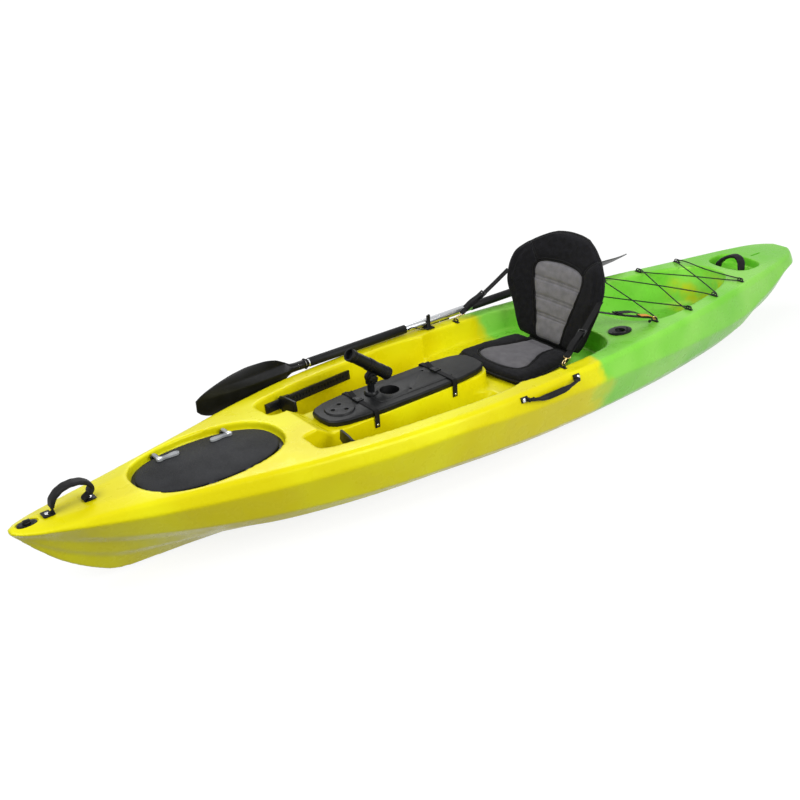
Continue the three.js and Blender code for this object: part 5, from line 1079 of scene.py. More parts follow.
@dataclass
class Fittings:
    """The hard fittings: each keeps its CAD form, with a moulding's rounded edges, and gets its finish."""

    frame: dict
    finishes: Finishes
    weld: float = 0.00002

    def __post_init__(self) -> None:
        """Finds each node's body."""
        bodies = self.frame["record"]["behaviour"]["bodies"]
        self.body_of = {node: body for body, nodes in bodies.items() for node in nodes}

    def plan(self) -> dict[str, tuple[Material, str, float]]:
        """Each node's finish, material slot and edge radius in millimetres."""
        f = self.finishes
        black, rubber = (f.black, "black_plastic"), (f.rubber, "black_rubber")
        plan = {
            "hatch_ring": (*black, 1.2), "hatch_seal": (*rubber, 0.5),
            "hatch_lid": (f.lid, "lid_plastic", 1.6),
            "pod_lid": (f.shell, "lid_plastic", 1.4),
            "drain_plug_base": (*black, 0.8), "drain_plug": (*black, 1.0),
            "rod_holder_base": (*black, 1.0), "rod_holder_post": (*black, 1.0),
            "rod_holder_tube": (*black, 0.9), "rod_holder_knob": (*black, 1.0),
            "paddle_keeper": (*rubber, 0.8),
        }
        moulded = ("hatch_hinge", "side_handle_plate", "flush_rod_holder", "foot_rail", "foot_pedal")
        for node in self.frame["nodes"]:
            if node.startswith(moulded):
                plan[node] = (*black, 0.7)
            elif node.startswith(("seat_eye", "tank_eye")):
                plan[node] = (*black, 0.9)
        return plan

    def dress(self, node: str, material: Material, radius: float) -> Piece:
        """A copy of a CAD node with welded faces and rounded edges.

        Args:
            node: the CAD node.
            material: its finish.
            radius: the edges' radius in millimetres.

        Returns:
            The copy, which stands for the node.
        """
        work = bmesh.new()
        work.from_mesh(self.frame["nodes"][node].data)
        bmesh.ops.remove_doubles(work, verts=work.verts, dist=self.weld)
        bmesh.ops.dissolve_limit(work, angle_limit=math.radians(2), verts=work.verts, edges=work.edges)
        mesh = bpy.data.meshes.new(f"{node}_form")
        work.to_mesh(mesh)
        work.free()
        piece = linked(f"{node}_form", mesh)
        bevel = piece.modifiers.new("rounded_edges", "BEVEL")
        bevel.width = radius * MM
        bevel.segments = 2
        bevel.limit_method = "ANGLE"
        bevel.angle_limit = math.radians(38)
        applied(piece)
        piece.data.materials.clear()
        piece.data.materials.append(material)
        piece.data.shade_smooth()
        piece.data.set_sharp_from_angle(angle=math.radians(34))
        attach(piece, self.body_of[node])
        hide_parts(node)
        return piece

    def build(self) -> None:
        """Dresses every hard fitting."""
        for node, (material, slot, radius) in self.plan().items():
            if node in self.frame["nodes"]:
                self.dress(node, material, radius)
            else:
                log.warning("no node %s", node)


@dataclass
class Studio:
    """A pale floor, soft lamps and the camera at the photograph's angle.

    A lamp has a name, a place, a size and its watts.
    """

    place: tuple[float, float, float] = (2.504, 2.890, 2.001)
    azimuth: float = 53.97
    elevation: float = 26.39
    roll: float = -3.26
    lens: float = 49.9
    floor_reach: float = 30
    floor_z: float = -0.0005
    lamps: Sequence[tuple[str, tuple[float, float, float], float, float]] = (
        ("lamp_over_bow", (3.2, 0.6, 3.6), 2.4, 84),
        ("lamp_port", (-0.6, 3.8, 2.4), 2.4, 124),
        ("lamp_starboard", (-1.0, -3.0, 3.6), 2.2, 58),
    )

    def camera(self) -> None:
        """Sets the camera, which looks down over the port bow."""
        data = bpy.data.cameras.new("camera")
        data.lens = self.lens
        data.clip_end = 100
        camera = linked("camera", data)
        a, e, roll = (math.radians(v) for v in (self.azimuth, self.elevation, self.roll))
        back = Vector((math.cos(e) * math.cos(a), math.cos(e) * math.sin(a), math.sin(e)))
        right = (-back).cross(Vector((0, 0, 1))).normalized()
        up = right.cross(-back)
        turned_right = right * math.cos(roll) + up * math.sin(roll)
        turned_up = up * math.cos(roll) - right * math.sin(roll)
        turn = Matrix((turned_right, turned_up, back)).transposed().to_4x4()
        camera.matrix_world = Matrix.Translation(self.place) @ turn
        bpy.context.scene.camera = camera

    def lamp(self, name: str, place: tuple[float, float, float], size: float, power: float) -> None:
        """A square soft lamp that faces the boat's middle."""
        data = bpy.data.lights.new(name, "AREA")
        data.size, data.energy = size, power
        lamp = linked(name, data)
        aim = Vector((0.1, 0, 0.2)) - Vector(place)
        lamp.matrix_world = Matrix.Translation(place) @ aim.to_track_quat("-Z", "Y").to_matrix().to_4x4()

    def build(self) -> None:
        """Makes the whole studio."""
        self.camera()
        for name, place, size, power in self.lamps:
            self.lamp(name, place, size, power)
        world = bpy.data.worlds.new("studio")
        bpy.context.scene.world = world
        world.use_nodes = True
        background = world.node_tree.nodes["Background"]
        path = add_node(world.node_tree, "ShaderNodeLightPath")
        glossy = {"Value": path.outputs["Is Glossy Ray"], "To Min": 0.34, "To Max": 0.8}
        mirrored = add_node(world.node_tree, "ShaderNodeMapRange", glossy)
        shown = {0: path.outputs["Is Camera Ray"], 1: mirrored.outputs["Result"]}
        strength = add_node(world.node_tree, "ShaderNodeMath", shown, operation="MAXIMUM")
        world.node_tree.links.new(strength.outputs[0], background.inputs["Strength"])
        background.inputs["Color"].default_value = (1, 1, 1, 1)
        corners = [(x * self.floor_reach, y * self.floor_reach, self.floor_z) for x,
                   y in ((-1, -1), (1, -1), (1, 1), (-1, 1))]
        floor = mesh_piece("floor", corners, [(0, 1, 2, 3)], None, None, False)
        s = Surface("pale_studio_floor")
        s.feed("Base Color", linear("#7e7e7e"))
        s.feed("Roughness", 0.95)
        s.feed("Specular IOR Level", 0.1)
        # seen directly or mirrored it is lifted to white, more so away from the boat, and it keeps its shadow
        reach = add_node(s.tree, "ShaderNodeVectorMath", {0: s.at}, operation="LENGTH")
        lift = s.between(reach.outputs["Value"], 1.9, 4.0, 0.85, 1.0)
        path = add_node(s.tree, "ShaderNodeLightPath")
        seen = s.math("MAXIMUM", path.outputs["Is Camera Ray"], path.outputs["Is Glossy Ray"])
        s.feed("Emission Color", linear("#ffffff"))
        s.feed("Emission Strength", s.math("MULTIPLY", lift, seen))
        floor.data.materials.append(s.material)
        bpy.context.scene.view_settings.view_transform = "Standard"


# Soft goods


def inside(points: np.ndarray, loop: np.ndarray) -> np.ndarray:
    """Whether each 2-D point lies within a closed outline."""
    x, y = points[:, :1], points[:, 1:]
    a, b = loop, np.roll(loop, -1, 0)
    crosses = (a[:, 1] > y) != (b[:, 1] > y)
    rise = np.where(b[:, 1] == a[:, 1], 1e-9, b[:, 1] - a[:, 1])
    at = a[:, 0] + (y - a[:, 1]) / rise * (b[:, 0] - a[:, 0])
    return ((crosses & (x < at)).sum(1) % 2).astype(bool)


def distance(points: np.ndarray, line: np.ndarray) -> np.ndarray:
    """How far each 2-D point is from a densely sampled line."""
    best = np.full(len(points), np.inf)
    for start in range(0, len(line), 64):
        gap = np.linalg.norm(points[:, None] - line[None, start : start + 64], axis=2).min(1)
        best = np.minimum(best, gap)
    return best


def inflated(points: np.ndarray, faces: Sequence[Sequence[int]], cap: float, pressure: float = 4.0,
             voxel: float = 0.006, stiffness: float = 18, frames: int = 20) -> np.ndarray:
    """Where a cushion's points go when its cover is filled.

    The form is remeshed, simulated as cloth under inner pressure and read back onto its own points, so that
    seams and UVs stay.

    Args:
        points: the form's points in metres.
        faces: its faces.
        cap: how far a point may move, in metres.
        pressure: the filling's pressure.
        voxel: the remeshed form's spacing, in metres.
        stiffness: the cover's, in tension and compression.
        frames: how long the cloth moves.

    Returns:
        The moved points.
    """
    piece = mesh_piece("filling", points, faces)
    face_out(piece.data)
    step = piece.modifiers.new("remesh", "REMESH")
    step.mode = "VOXEL"
    step.voxel_size = voxel
    applied(piece)
    rest = np.array([v.co for v in piece.data.vertices])
    cloth = piece.modifiers.new("cloth", "CLOTH")
    cloth.settings.quality = 5
    cloth.settings.mass = 0.2
    cloth.settings.use_pressure = True
    cloth.settings.uniform_pressure_force = pressure
    cloth.settings.effector_weights.gravity = 0
    cloth.settings.tension_stiffness = stiffness
    cloth.settings.compression_stiffness = stiffness
    cloth.collision_settings.use_collision = False
    cloth.point_cache.frame_start = 1
    cloth.point_cache.frame_end = frames
    scene = bpy.context.scene
    for frame in range(1, frames + 1):
        scene.frame_set(frame)
    evaluated = piece.evaluated_get(bpy.context.evaluated_depsgraph_get())
    moved = np.array([v.co for v in evaluated.data.vertices]) - rest
    reach = np.linalg.norm(moved, axis=1)
    moved *= (np.minimum(reach, cap) / np.maximum(reach, 1e-9))[:, None]
    tree = KDTree(len(rest))
    for i, co in enumerate(rest):
        tree.insert(co, i)
    tree.balance()
    result = points.copy()
    for i, co in enumerate(points):
        near = tree.find_n(co, 6)
        weights = np.array([1 / (d + 0.001) for _, _, d in near])
        result[i] += (moved[[k for _, k, _ in near]] * weights[:, None]).sum(0) / weights.sum()
    scene.frame_set(1)
    bpy.data.objects.remove(piece)
    return result


@dataclass
class CushionPlan:
    """A sewn cushion in its own frame: X along it, Y across it and Z out of its face, in millimetres."""

    name: str
    node: str
    body: str
    length: float
    half_width: float
    thickness: float
    low: float
    widths: Pairs
    wing: float
    wings: Pairs
    arch: float
    panel: Pairs
    channels: Sequence[float]
    seams: Sequence[Pairs]
    cap: float
    swell: float
    curl: float
    to_model: Matrix
    edge: float = 19.0
    stitch_gap: float = 5.2
    creases: int = 7
    crease_depth: float = 0.22
    crease_seed: int = 5
    columns: int = 104
    under_columns: int = 44
    rings: int = 132


@dataclass
class Cushion:
    """One cushion: crowned faces, panel, quilting seams, piping, edge tape and stitches."""

    plan: CushionPlan
    finishes: Finishes
    stamp: Stamp

    def __post_init__(self) -> None:
        """Samples the plan's outlines."""
        plan = self.plan
        self.width, self.wings = smooth_curve(plan.widths), smooth_curve(plan.wings)
        half = [(x * plan.length, y, 0.0) for x, y in plan.panel]
        self.panel = even_path([*half, *[(x, -y, z) for x, y, z in half[::-1]], half[0]], 2.0)[:, :2]
        self.lines = [even_path([(x * plan.length, y, 0.0) for x, y in seam], 2.0)[:, :2]
                      for seam in plan.seams]
        self.lines += [line * (1, -1) for line in self.lines]

    def form(self) -> tuple[np.ndarray, list, np.ndarray]:
        """The crowned form: points in millimetres, faces, and which points are on the face side."""
        p = self.plan
        around = np.linspace(0, math.pi, p.columns)
        top = -np.cos(around) * (0.72 + 0.28 * np.abs(np.cos(around)))
        under = np.cos(np.linspace(0, math.pi, p.under_columns))[1:-1]
        across = np.concatenate([top, under])
        upper = np.concatenate([np.ones(len(top)), -np.ones(len(under))])
        along = (1 - np.cos(np.linspace(0, math.pi, p.rings))) / 2 * 0.55 + np.linspace(0, 1, p.rings) * 0.45
        s, v = np.meshgrid(along, across, indexing="ij")
        side = np.broadcast_to(upper, s.shape)
        half = p.half_width * self.width(s)
        x = s * p.length - p.arch * v**2 * s**10 * p.length + p.arch * v**2 * (1 - s) ** 10 * p.length
        y = half * v
        round_side = np.sqrt(1 - (1 - np.clip(half * (1 - np.abs(v)) / p.edge, 0, 1)) ** 2)
        end_gap = np.clip(np.minimum(s, 1 - s) * p.length / p.edge, 0, 1)
        round_end = 0.22 + 0.78 * np.sqrt(1 - (1 - end_gap) ** 2)
        swell = round_side * round_end
        curl = p.curl * np.clip((s - 0.62) / 0.38, 0, 1) ** 2
        middle = p.low + p.thickness * 0.46 + p.wing * self.wings(s) * v**2 - curl
        crown = 1 + p.swell * (1 - v**2) * np.sin(np.pi * np.clip(s, 0, 1))
        z = middle + np.where(side > 0, p.thickness * 0.54 * swell * crown, -p.thickness * 0.46 * swell)
        points = np.stack([x, y, z], -1).reshape(-1, 3)
        count, rings = len(across), p.rings
        faces = [(r * count + i, r * count + (i + 1) % count, (r + 1) * count + (i + 1) % count,
                  (r + 1) * count + i)
                 for r in range(rings - 1) for i in range(count)]
        for r, flip in ((0, True), (rings - 1, False)):
            row = [r * count + i for i in range(count)]
            faces.append(tuple(row[::-1] if flip else row))
        return points, faces, side.ravel() > 0

    def sewn(self, points: np.ndarray, face_side: np.ndarray) -> np.ndarray:
        """The points drawn in along the seams and channels, in millimetres."""
        p = self.plan
        flat = points[:, :2]
        panel_gap = distance(flat, self.panel)
        within = inside(flat, self.panel)
        drop = 5.0 * np.exp(-((panel_gap / 8.0) ** 2))
        puff = np.where(within, 2.6 * (1 - np.exp(-((panel_gap / 16) ** 2))),
                        3.4 * (1 - np.exp(-((panel_gap / 20) ** 2))))
        for place in p.channels:
            for offset in (-p.stitch_gap, p.stitch_gap):
                gap = flat[:, 0] - (place * p.length + offset)
                drop += np.where(within,
                                 4.2 * np.exp(-((gap / 2.9) ** 2)) * (1 - np.exp(-((panel_gap / 5) ** 2))), 0)
            wide = flat[:, 0] - place * p.length
            puff -= np.where(within, 2.4 * np.exp(-((wide / 15) ** 2)), 0)
        for line in self.lines:
            gap = distance(flat, line)
            drop += np.where(within, 0, 6.0 * np.exp(-((gap / 6.5) ** 2)))
        half = p.half_width * self.width(np.clip(flat[:, 0] / p.length, 0, 1))
        rim = np.minimum(half - np.abs(flat[:, 1]), np.minimum(flat[:, 0], p.length - flat[:, 0]))
        calm = np.clip(rim / 22, 0, 1)
        rng = np.random.default_rng(p.crease_seed)
        creases = np.zeros(len(points))
        for _ in range(p.creases):
            angle, wave, phase = rng.uniform(-0.5, 0.5), rng.uniform(34, 80), rng.uniform(0, 6.28)
            run = flat[:, 0] * math.cos(angle) + flat[:, 1] * math.sin(angle)
            creases += np.sin(run * 2 * math.pi / wave + phase)
        result = points.copy()
        result[:, 2] += np.where(face_side, (puff - drop) * calm + creases * p.crease_depth * calm, 0)
        return result

    def build(self) -> Piece:
        """The finished cushion, dressed and riding on its body."""
        p, f = self.plan, self.finishes
        points, faces, face_side = self.form()
        points = inflated(points * MM, faces, p.cap * MM) / MM
        if p.body == "hull":
            points[:, 2] = np.maximum(points[:, 2], p.low)
        points = self.sewn(points, face_side)
        uvs = np.array([points[i, 1::-1] * MM for face in faces for i in face])
        cover = mesh_piece(p.name, points * MM, faces, f.mesh, uvs)
        cover.data.materials.append(f.panel)
        centres = np.array([points[list(face)].mean(0) for face in faces])
        on_face = np.array([face_side[list(face)].all() for face in faces])
        grey = inside(centres[:, :2], self.panel) & on_face
        cover.data.polygons.foreach_set("material_index", grey.astype(np.int32))
        face_out(cover.data)
        tree = BVHTree.FromPolygons(points.tolist(), faces)

        def on_surface(line: np.ndarray, lift: float) -> np.ndarray:
            """The line laid on the cushion's face, in metres."""
            laid = []
            for x, y in line:
                hit = tree.ray_cast(Vector((x, y, 400)), Vector((0, 0, -1)))[0]
                if hit is not None:
                    laid.append((x, y, hit.z + lift))
            return np.array(laid) * MM

        pieces = [cover]
        centre = self.panel.mean(0)
        for part, out, radius in (("inner", 0.0, 0.0034), ("outer", 7.4, 0.0026)):
            away = self.panel[:-1] - centre
            ring = self.panel[:-1] + away / np.linalg.norm(away, axis=1)[:, None] * out
            loop = on_surface(ring, 1.4)
            pieces.append(sweep(f"{p.name}_piping_{part}", np.vstack([loop, loop[:2]]),
                                round_section(radius, 10), None, f.piping))
        for i, line in enumerate(self.lines):
            laid = on_surface(line, 0.3)
            if len(laid) > 4:
                pieces.append(sweep(f"{p.name}_seam_{i}", laid, round_section(0.0024, 8), None, f.piping))
        edge = self.edge_line(points)
        pieces.append(sweep(f"{p.name}_tape", edge, [(x * 1.5, y) for x, y in round_section(0.0044, 12)],
                            None, f.piping))
        pieces += self.stitches(on_surface)
        whole = merge(p.name, pieces)
        whole.data.transform(p.to_model)
        return whole

    def edge_line(self, points: np.ndarray) -> np.ndarray:
        """The outline at mid thickness, for the edge tape, in metres."""
        p = self.plan
        count = p.columns + p.under_columns - 2
        grid = points.reshape(p.rings, count, 3)
        left, right = grid[:, 0], grid[:, p.columns - 1]
        bottom = (grid[0, : p.columns] + self.matching(grid[0])) / 2
        top = (grid[-1, : p.columns] + self.matching(grid[-1])) / 2
        loop = np.vstack([left, top[1:-1], right[::-1], bottom[-2:0:-1]])
        path = even_path([*loop[::3], loop[0]], 4.0)
        return np.vstack([path, path[1:3]]) * MM

    def matching(self, ring: np.ndarray) -> np.ndarray:
        """The underside's points below each point of the face."""
        p = self.plan
        under = np.vstack([ring[p.columns - 1 :], ring[:1]])[::-1]
        order = np.argsort(under[:, 1])
        top = ring[: p.columns]
        return np.column_stack([np.interp(top[:, 1], under[order, 1], under[order, k]) for k in range(3)])

    def stitches(self, on_surface: Callable[[np.ndarray, float], np.ndarray]) -> list[Piece]:
        """Rows of stitches along the channels and inside the piping."""
        p = self.plan
        bead = [(-0.0016, 0.0002), (-0.0009, 0.0005), (0.0009, 0.0005), (0.0016, 0.0002)]
        thread = turned("stitch", bead, (0, 0, 0), (0, 0, 1), self.finishes.thread, 6)
        lines = []
        for place in p.channels:
            for offset in (-p.stitch_gap, p.stitch_gap):
                x = place * p.length + offset
                ys = np.linspace(-p.half_width, p.half_width, 400)
                row = np.column_stack([np.full(400, x), ys])
                row = row[inside(row, self.panel) & (distance(row, self.panel) > 5)]
                if len(row) > 4:
                    lines.append(row)
        centre = self.panel.mean(0)
        lines.append(centre + (self.panel[:-1] - centre) * 0.955)
        lines += [line + (0, 4.4) for line in self.lines] + [line - (0, 4.4) for line in self.lines]
        spots, ways = [], []
        for line in lines:
            laid = on_surface(line, 0.25)
            if len(laid) < 5:
                continue
            path = even_path(laid[:: max(1, len(laid) // 40)], 0.0048)
            ahead = np.gradient(path, axis=0)
            spots.append(path)
            ways.append(ahead / np.linalg.norm(ahead, axis=1)[:, None])
        rows = self.stamp.set(f"{p.name}_stitches", np.vstack(spots), np.vstack(ways), thread, 1.0,
                              self.finishes.thread)
        bpy.data.objects.remove(thread)
        return [rows]


@dataclass
class Seat:
    """The padded seat: its pan, its folding back, four straps with their buckles and hooks."""

    finishes: Finishes
    hull: Hull
    stamp: Stamp
    back_length: float = 438
    back_half: float = 252
    wing: float = 54
    lean: float = 15.5
    back_place: tuple[float, float, float] = (-0.330, 0, 0.228)
    pan_place: tuple[float, float, float] = (-0.322, 0, 0.1983)
    front_width: float = 0.025
    rear_width: float = 0.036
    hook_length: float = 0.0345

    def __post_init__(self) -> None:
        """Sets the places of the back and the pan."""
        lean = Matrix.Rotation(-math.radians(self.lean), 4, "Y")
        turn = Matrix(((0, 0, 1, 0), (0, -1, 0, 0), (1, 0, 0, 0), (0, 0, 0, 1)))
        self.back_frame = Matrix.Translation(self.back_place) @ lean @ turn
        self.pan_frame = Matrix.Translation(self.pan_place)

    def back_point(self, share: float, y: float, forward: float) -> Vector:
        """A point of the back's frame in the model, in metres; y is to port."""
        return self.back_frame @ (Vector((share * self.back_length, -y, forward)) * MM)

    def back(self) -> None:
        """The back, with its hood, two side wings and the quilted panel between them."""
        widths = ((0, 0.64), (0.05, 0.7), (0.25, 0.84), (0.46, 0.985), (0.58, 1), (0.7, 0.955), (0.8, 0.83),
                  (0.9, 0.63), (0.96, 0.47), (1, 0.33))
        wings = ((0, 0.15), (0.25, 0.55), (0.5, 1), (0.7, 0.95), (0.9, 0.4), (1, 0.1))
        panel = ((0.02, 0), (0.02, 56), (0.035, 67), (0.2, 82), (0.4, 107), (0.54, 124), (0.62, 129),
                 (0.68, 120), (0.715, 88), (0.735, 0))
        seams = [((0.69, 126), (0.74, 138), (0.80, 160), (0.845, 186))]
        plan = CushionPlan(
            "seat_back_cushion", "seat_back", "seat_back", self.back_length, self.back_half, 30, -30, widths,
            self.wing, wings, 0.02, panel, (0.235, 0.39, 0.55), seams, 5, 0.22, 20, self.back_frame)
        whole = Cushion(plan, self.finishes, self.stamp).build()
        band = self.back_band()
        whole = merge("seat_back_cushion", [whole, band])
        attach(whole, "seat_back")
        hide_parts("seat_back")

    def back_band(self) -> Piece:
        """The webbing sewn across the rear of the back, from one rear strap to the other."""
        ways = [self.back_point(0.4, y, -31.0 + self.wing * 0.86 * (y / 247) ** 2)
                for y in np.linspace(-160, 160, 33)]
        across = self.back_frame.to_3x3() @ Vector((1, 0, 0))
        return sweep("back_band", np.array(ways), flat_section(0.038, 0.0022), across, self.finishes.webbing)

    def pan(self) -> None:
        """The pan, with its widening panel and the hem that joins it to the back."""
        widths = ((0, 0.72), (0.06, 0.84), (0.3, 0.93), (0.7, 1), (0.88, 1), (0.96, 0.95), (1, 0.88))
        panel = ((0.03, 0), (0.03, 62), (0.1, 66), (0.2, 68), (0.36, 80), (0.54, 106), (0.66, 119),
                 (0.75, 114), (0.81, 92), (0.85, 50), (0.86, 0))
        plan = CushionPlan(
            "seat_pan_cushion", "seat_pan", "hull", 324, 182, 36, 0.2, widths, 0, ((0, 0), (1, 0)), 0.055,
            panel, (0.14,), [], 4, 0.16, 0, self.pan_frame)
        whole = Cushion(plan, self.finishes, self.stamp).build()
        # the pan's panel takes the darker copy of the grey fabric, which is painted shade
        for index, material in enumerate(whole.data.materials):
            if material == self.finishes.panel:
                whole.data.materials[index] = self.finishes.seat_panel
        hem = self.back_point(-4.6 / self.back_length, 0, -22.5)
        roll = np.array([(hem.x, y, hem.z) for y in np.linspace(-0.118, 0.118, 41)])
        tube = sweep("hem_roll", roll, round_section(0.004, 14), None, self.finishes.piping)
        flap = np.array([(x, 0, hem.z - 0.0026) for x in np.linspace(hem.x, -0.312, 9)])
        cloth = sweep("hem_flap", flap, flat_section(0.236, 0.0022), (0, 1, 0), self.finishes.piping)
        whole = merge("seat_pan_cushion", [whole, tube, cloth])
        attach(whole, "hull")
        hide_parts("seat_pan")

    def hook(self, name: str, bar: Vector, pull: Vector) -> list[Piece]:
        """A plated snap hook: a bow round the eye's bar and a swivel with its own loop."""
        brass = self.finishes.brass
        side = Vector((0, 1, 0))
        side = (side - pull * side.dot(pull)).normalized()
        flat = pull.cross(side).normalized()
        bow = []
        for a in np.linspace(-math.pi * 0.92, math.pi * 0.92, 36):
            out, up = math.sin(a) * 0.0068, -math.cos(a)
            bow.append(bar + pull * (0.0068 + up * 0.0098) + flat * out)
        parts = [sweep(f"{name}_bow", np.array(bow), round_section(0.0016, 10), side, brass)]
        neck = bar + pull * 0.0165
        swivel = [(0, 0.0012), (0.0006, 0.0036), (0.0046, 0.0036), (0.0052, 0.0026), (0.0066, 0.0026),
                  (0.0072, 0.004), (0.0098, 0.004), (0.0104, 0.002)]
        parts.append(turned(f"{name}_swivel", swivel, neck, pull, brass, 20))
        eye = neck + pull * 0.0104
        loop = []
        for y, z in ((-0.004, 0), (-0.0135, 0.004), (-0.0135, 0.0105), (0.0135, 0.0105), (0.0135, 0.004),
                     (0.004, 0)):
            loop.append(eye + side * y + pull * z)
        parts.append(sweep(f"{name}_loop", even_path([*loop, loop[0], loop[1]], 0.0012),
                           round_section(0.0015, 8), flat, brass))
        return parts

    def strap(self, name: str, node: str, top: Vector, bar: Vector, buckle_at: float) -> None:
        """A strap from the back down to its hook, with a ladder buckle and a free tail."""
        f = self.finishes
        pull = (top - bar).normalized()
        start = bar + pull * self.hook_length
        wide = self.rear_width if "rear" in name else self.front_width
        length = (top - start).length
        side = Vector((0, 1, 0))
        side = (side - pull * side.dot(pull)).normalized()
        flat = pull.cross(side).normalized()
        if flat.z < 0:
            flat = -flat
        run = np.array([start + pull * (length * t) - flat * (0.0035 * math.sin(math.pi * t))
                        for t in np.linspace(0, 1.0, 60)])
        parts = [sweep(f"{name}_run", run, flat_section(wide, 0.0019), side, f.webbing)]
        fold = [start + pull * along + flat * up for along, up in (
            (0.052, 0.0022), (0.02, 0.0026), (0, 0.0034),
            (-0.0042, 0.0008), (-0.0024, -0.0014), (0.004, -0.0006))]
        parts.append(sweep(f"{name}_fold", even_path(fold, 0.002), flat_section(wide, 0.0018), side,
                           f.webbing))
        middle = start + pull * (length * buckle_at) + flat * 0.001
        turn = Matrix((pull, side, flat)).transposed()
        frames = [block((0.03, 0.0055, 0.005), middle + side * (o * (wide / 2 + 0.0027)), turn)
                  for o in (-1, 1)]
        for along, up in ((-0.0125, 0), (0, 0.0022), (0.0125, 0)):
            frames.append(block((0.005, wide + 0.005, 0.0046), middle + pull * along + flat * up, turn))
        parts.append(joined(f"{name}_buckle", frames, f.black))
        tail = [middle + pull * along + flat * up for along, up in (
            (0.004, 0.004), (-0.02, 0.0075), (-0.052, 0.0125), (-0.088, 0.011))]
        parts.append(sweep(f"{name}_tail", even_path(tail, 0.004), flat_section(wide - 0.0005, 0.0016), side,
                           f.webbing))
        parts += self.hook(name, bar, pull)
        if "rear" in name:
            tab = [start + pull * along + flat * up for along, up in (
                (0.05, 0.004), (0.03, 0.0065), (0.006, 0.008), (-0.012, 0.0035), (-0.022, -0.003))]
            parts.append(sweep(f"{name}_tab", even_path(tab, 0.003), flat_section(0.03, 0.0018), side,
                               f.orange))
        whole = merge(name, parts)
        whole.data.set_sharp_from_angle(angle=math.radians(45))
        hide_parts(node)
        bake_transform(whole)

    def straps(self) -> None:
        """The four straps."""
        for side in Side:
            half = self.back_half * float(smooth_curve(((0.5, 0.98), (0.62, 1), (0.74, 0.93)))(0.54))
            top = self.back_point(0.54, side.value * (half + 2), self.wing * 0.98 - 15)
            self.strap(f"front_strap_{side.word}", f"seat_strap_front_{side.word}", top,
                       self.eye_bar(-116, side.value * 300), 0.42)
            top = self.back_point(0.4, side.value * 150, -31.5 + self.wing * 0.86 * (150 / 247) ** 2)
            x, y = Lacing.rows[0]
            self.strap(f"rear_strap_{side.word}", f"seat_strap_rear_{side.word}", top,
                       self.eye_bar(x, side.value * (y + 6.25)), 0.5)

    def eye_bar(self, x: float, y: float) -> Vector:
        """The middle of the bar of a pad eye, in metres."""
        return Vector((x, y, float(self.hull.deck_z(x)) + 14.7)) * MM

    def build(self) -> None:
        """The whole seat."""
        self.pan()
        self.back()
        self.straps()


# Webbing, cord and rope


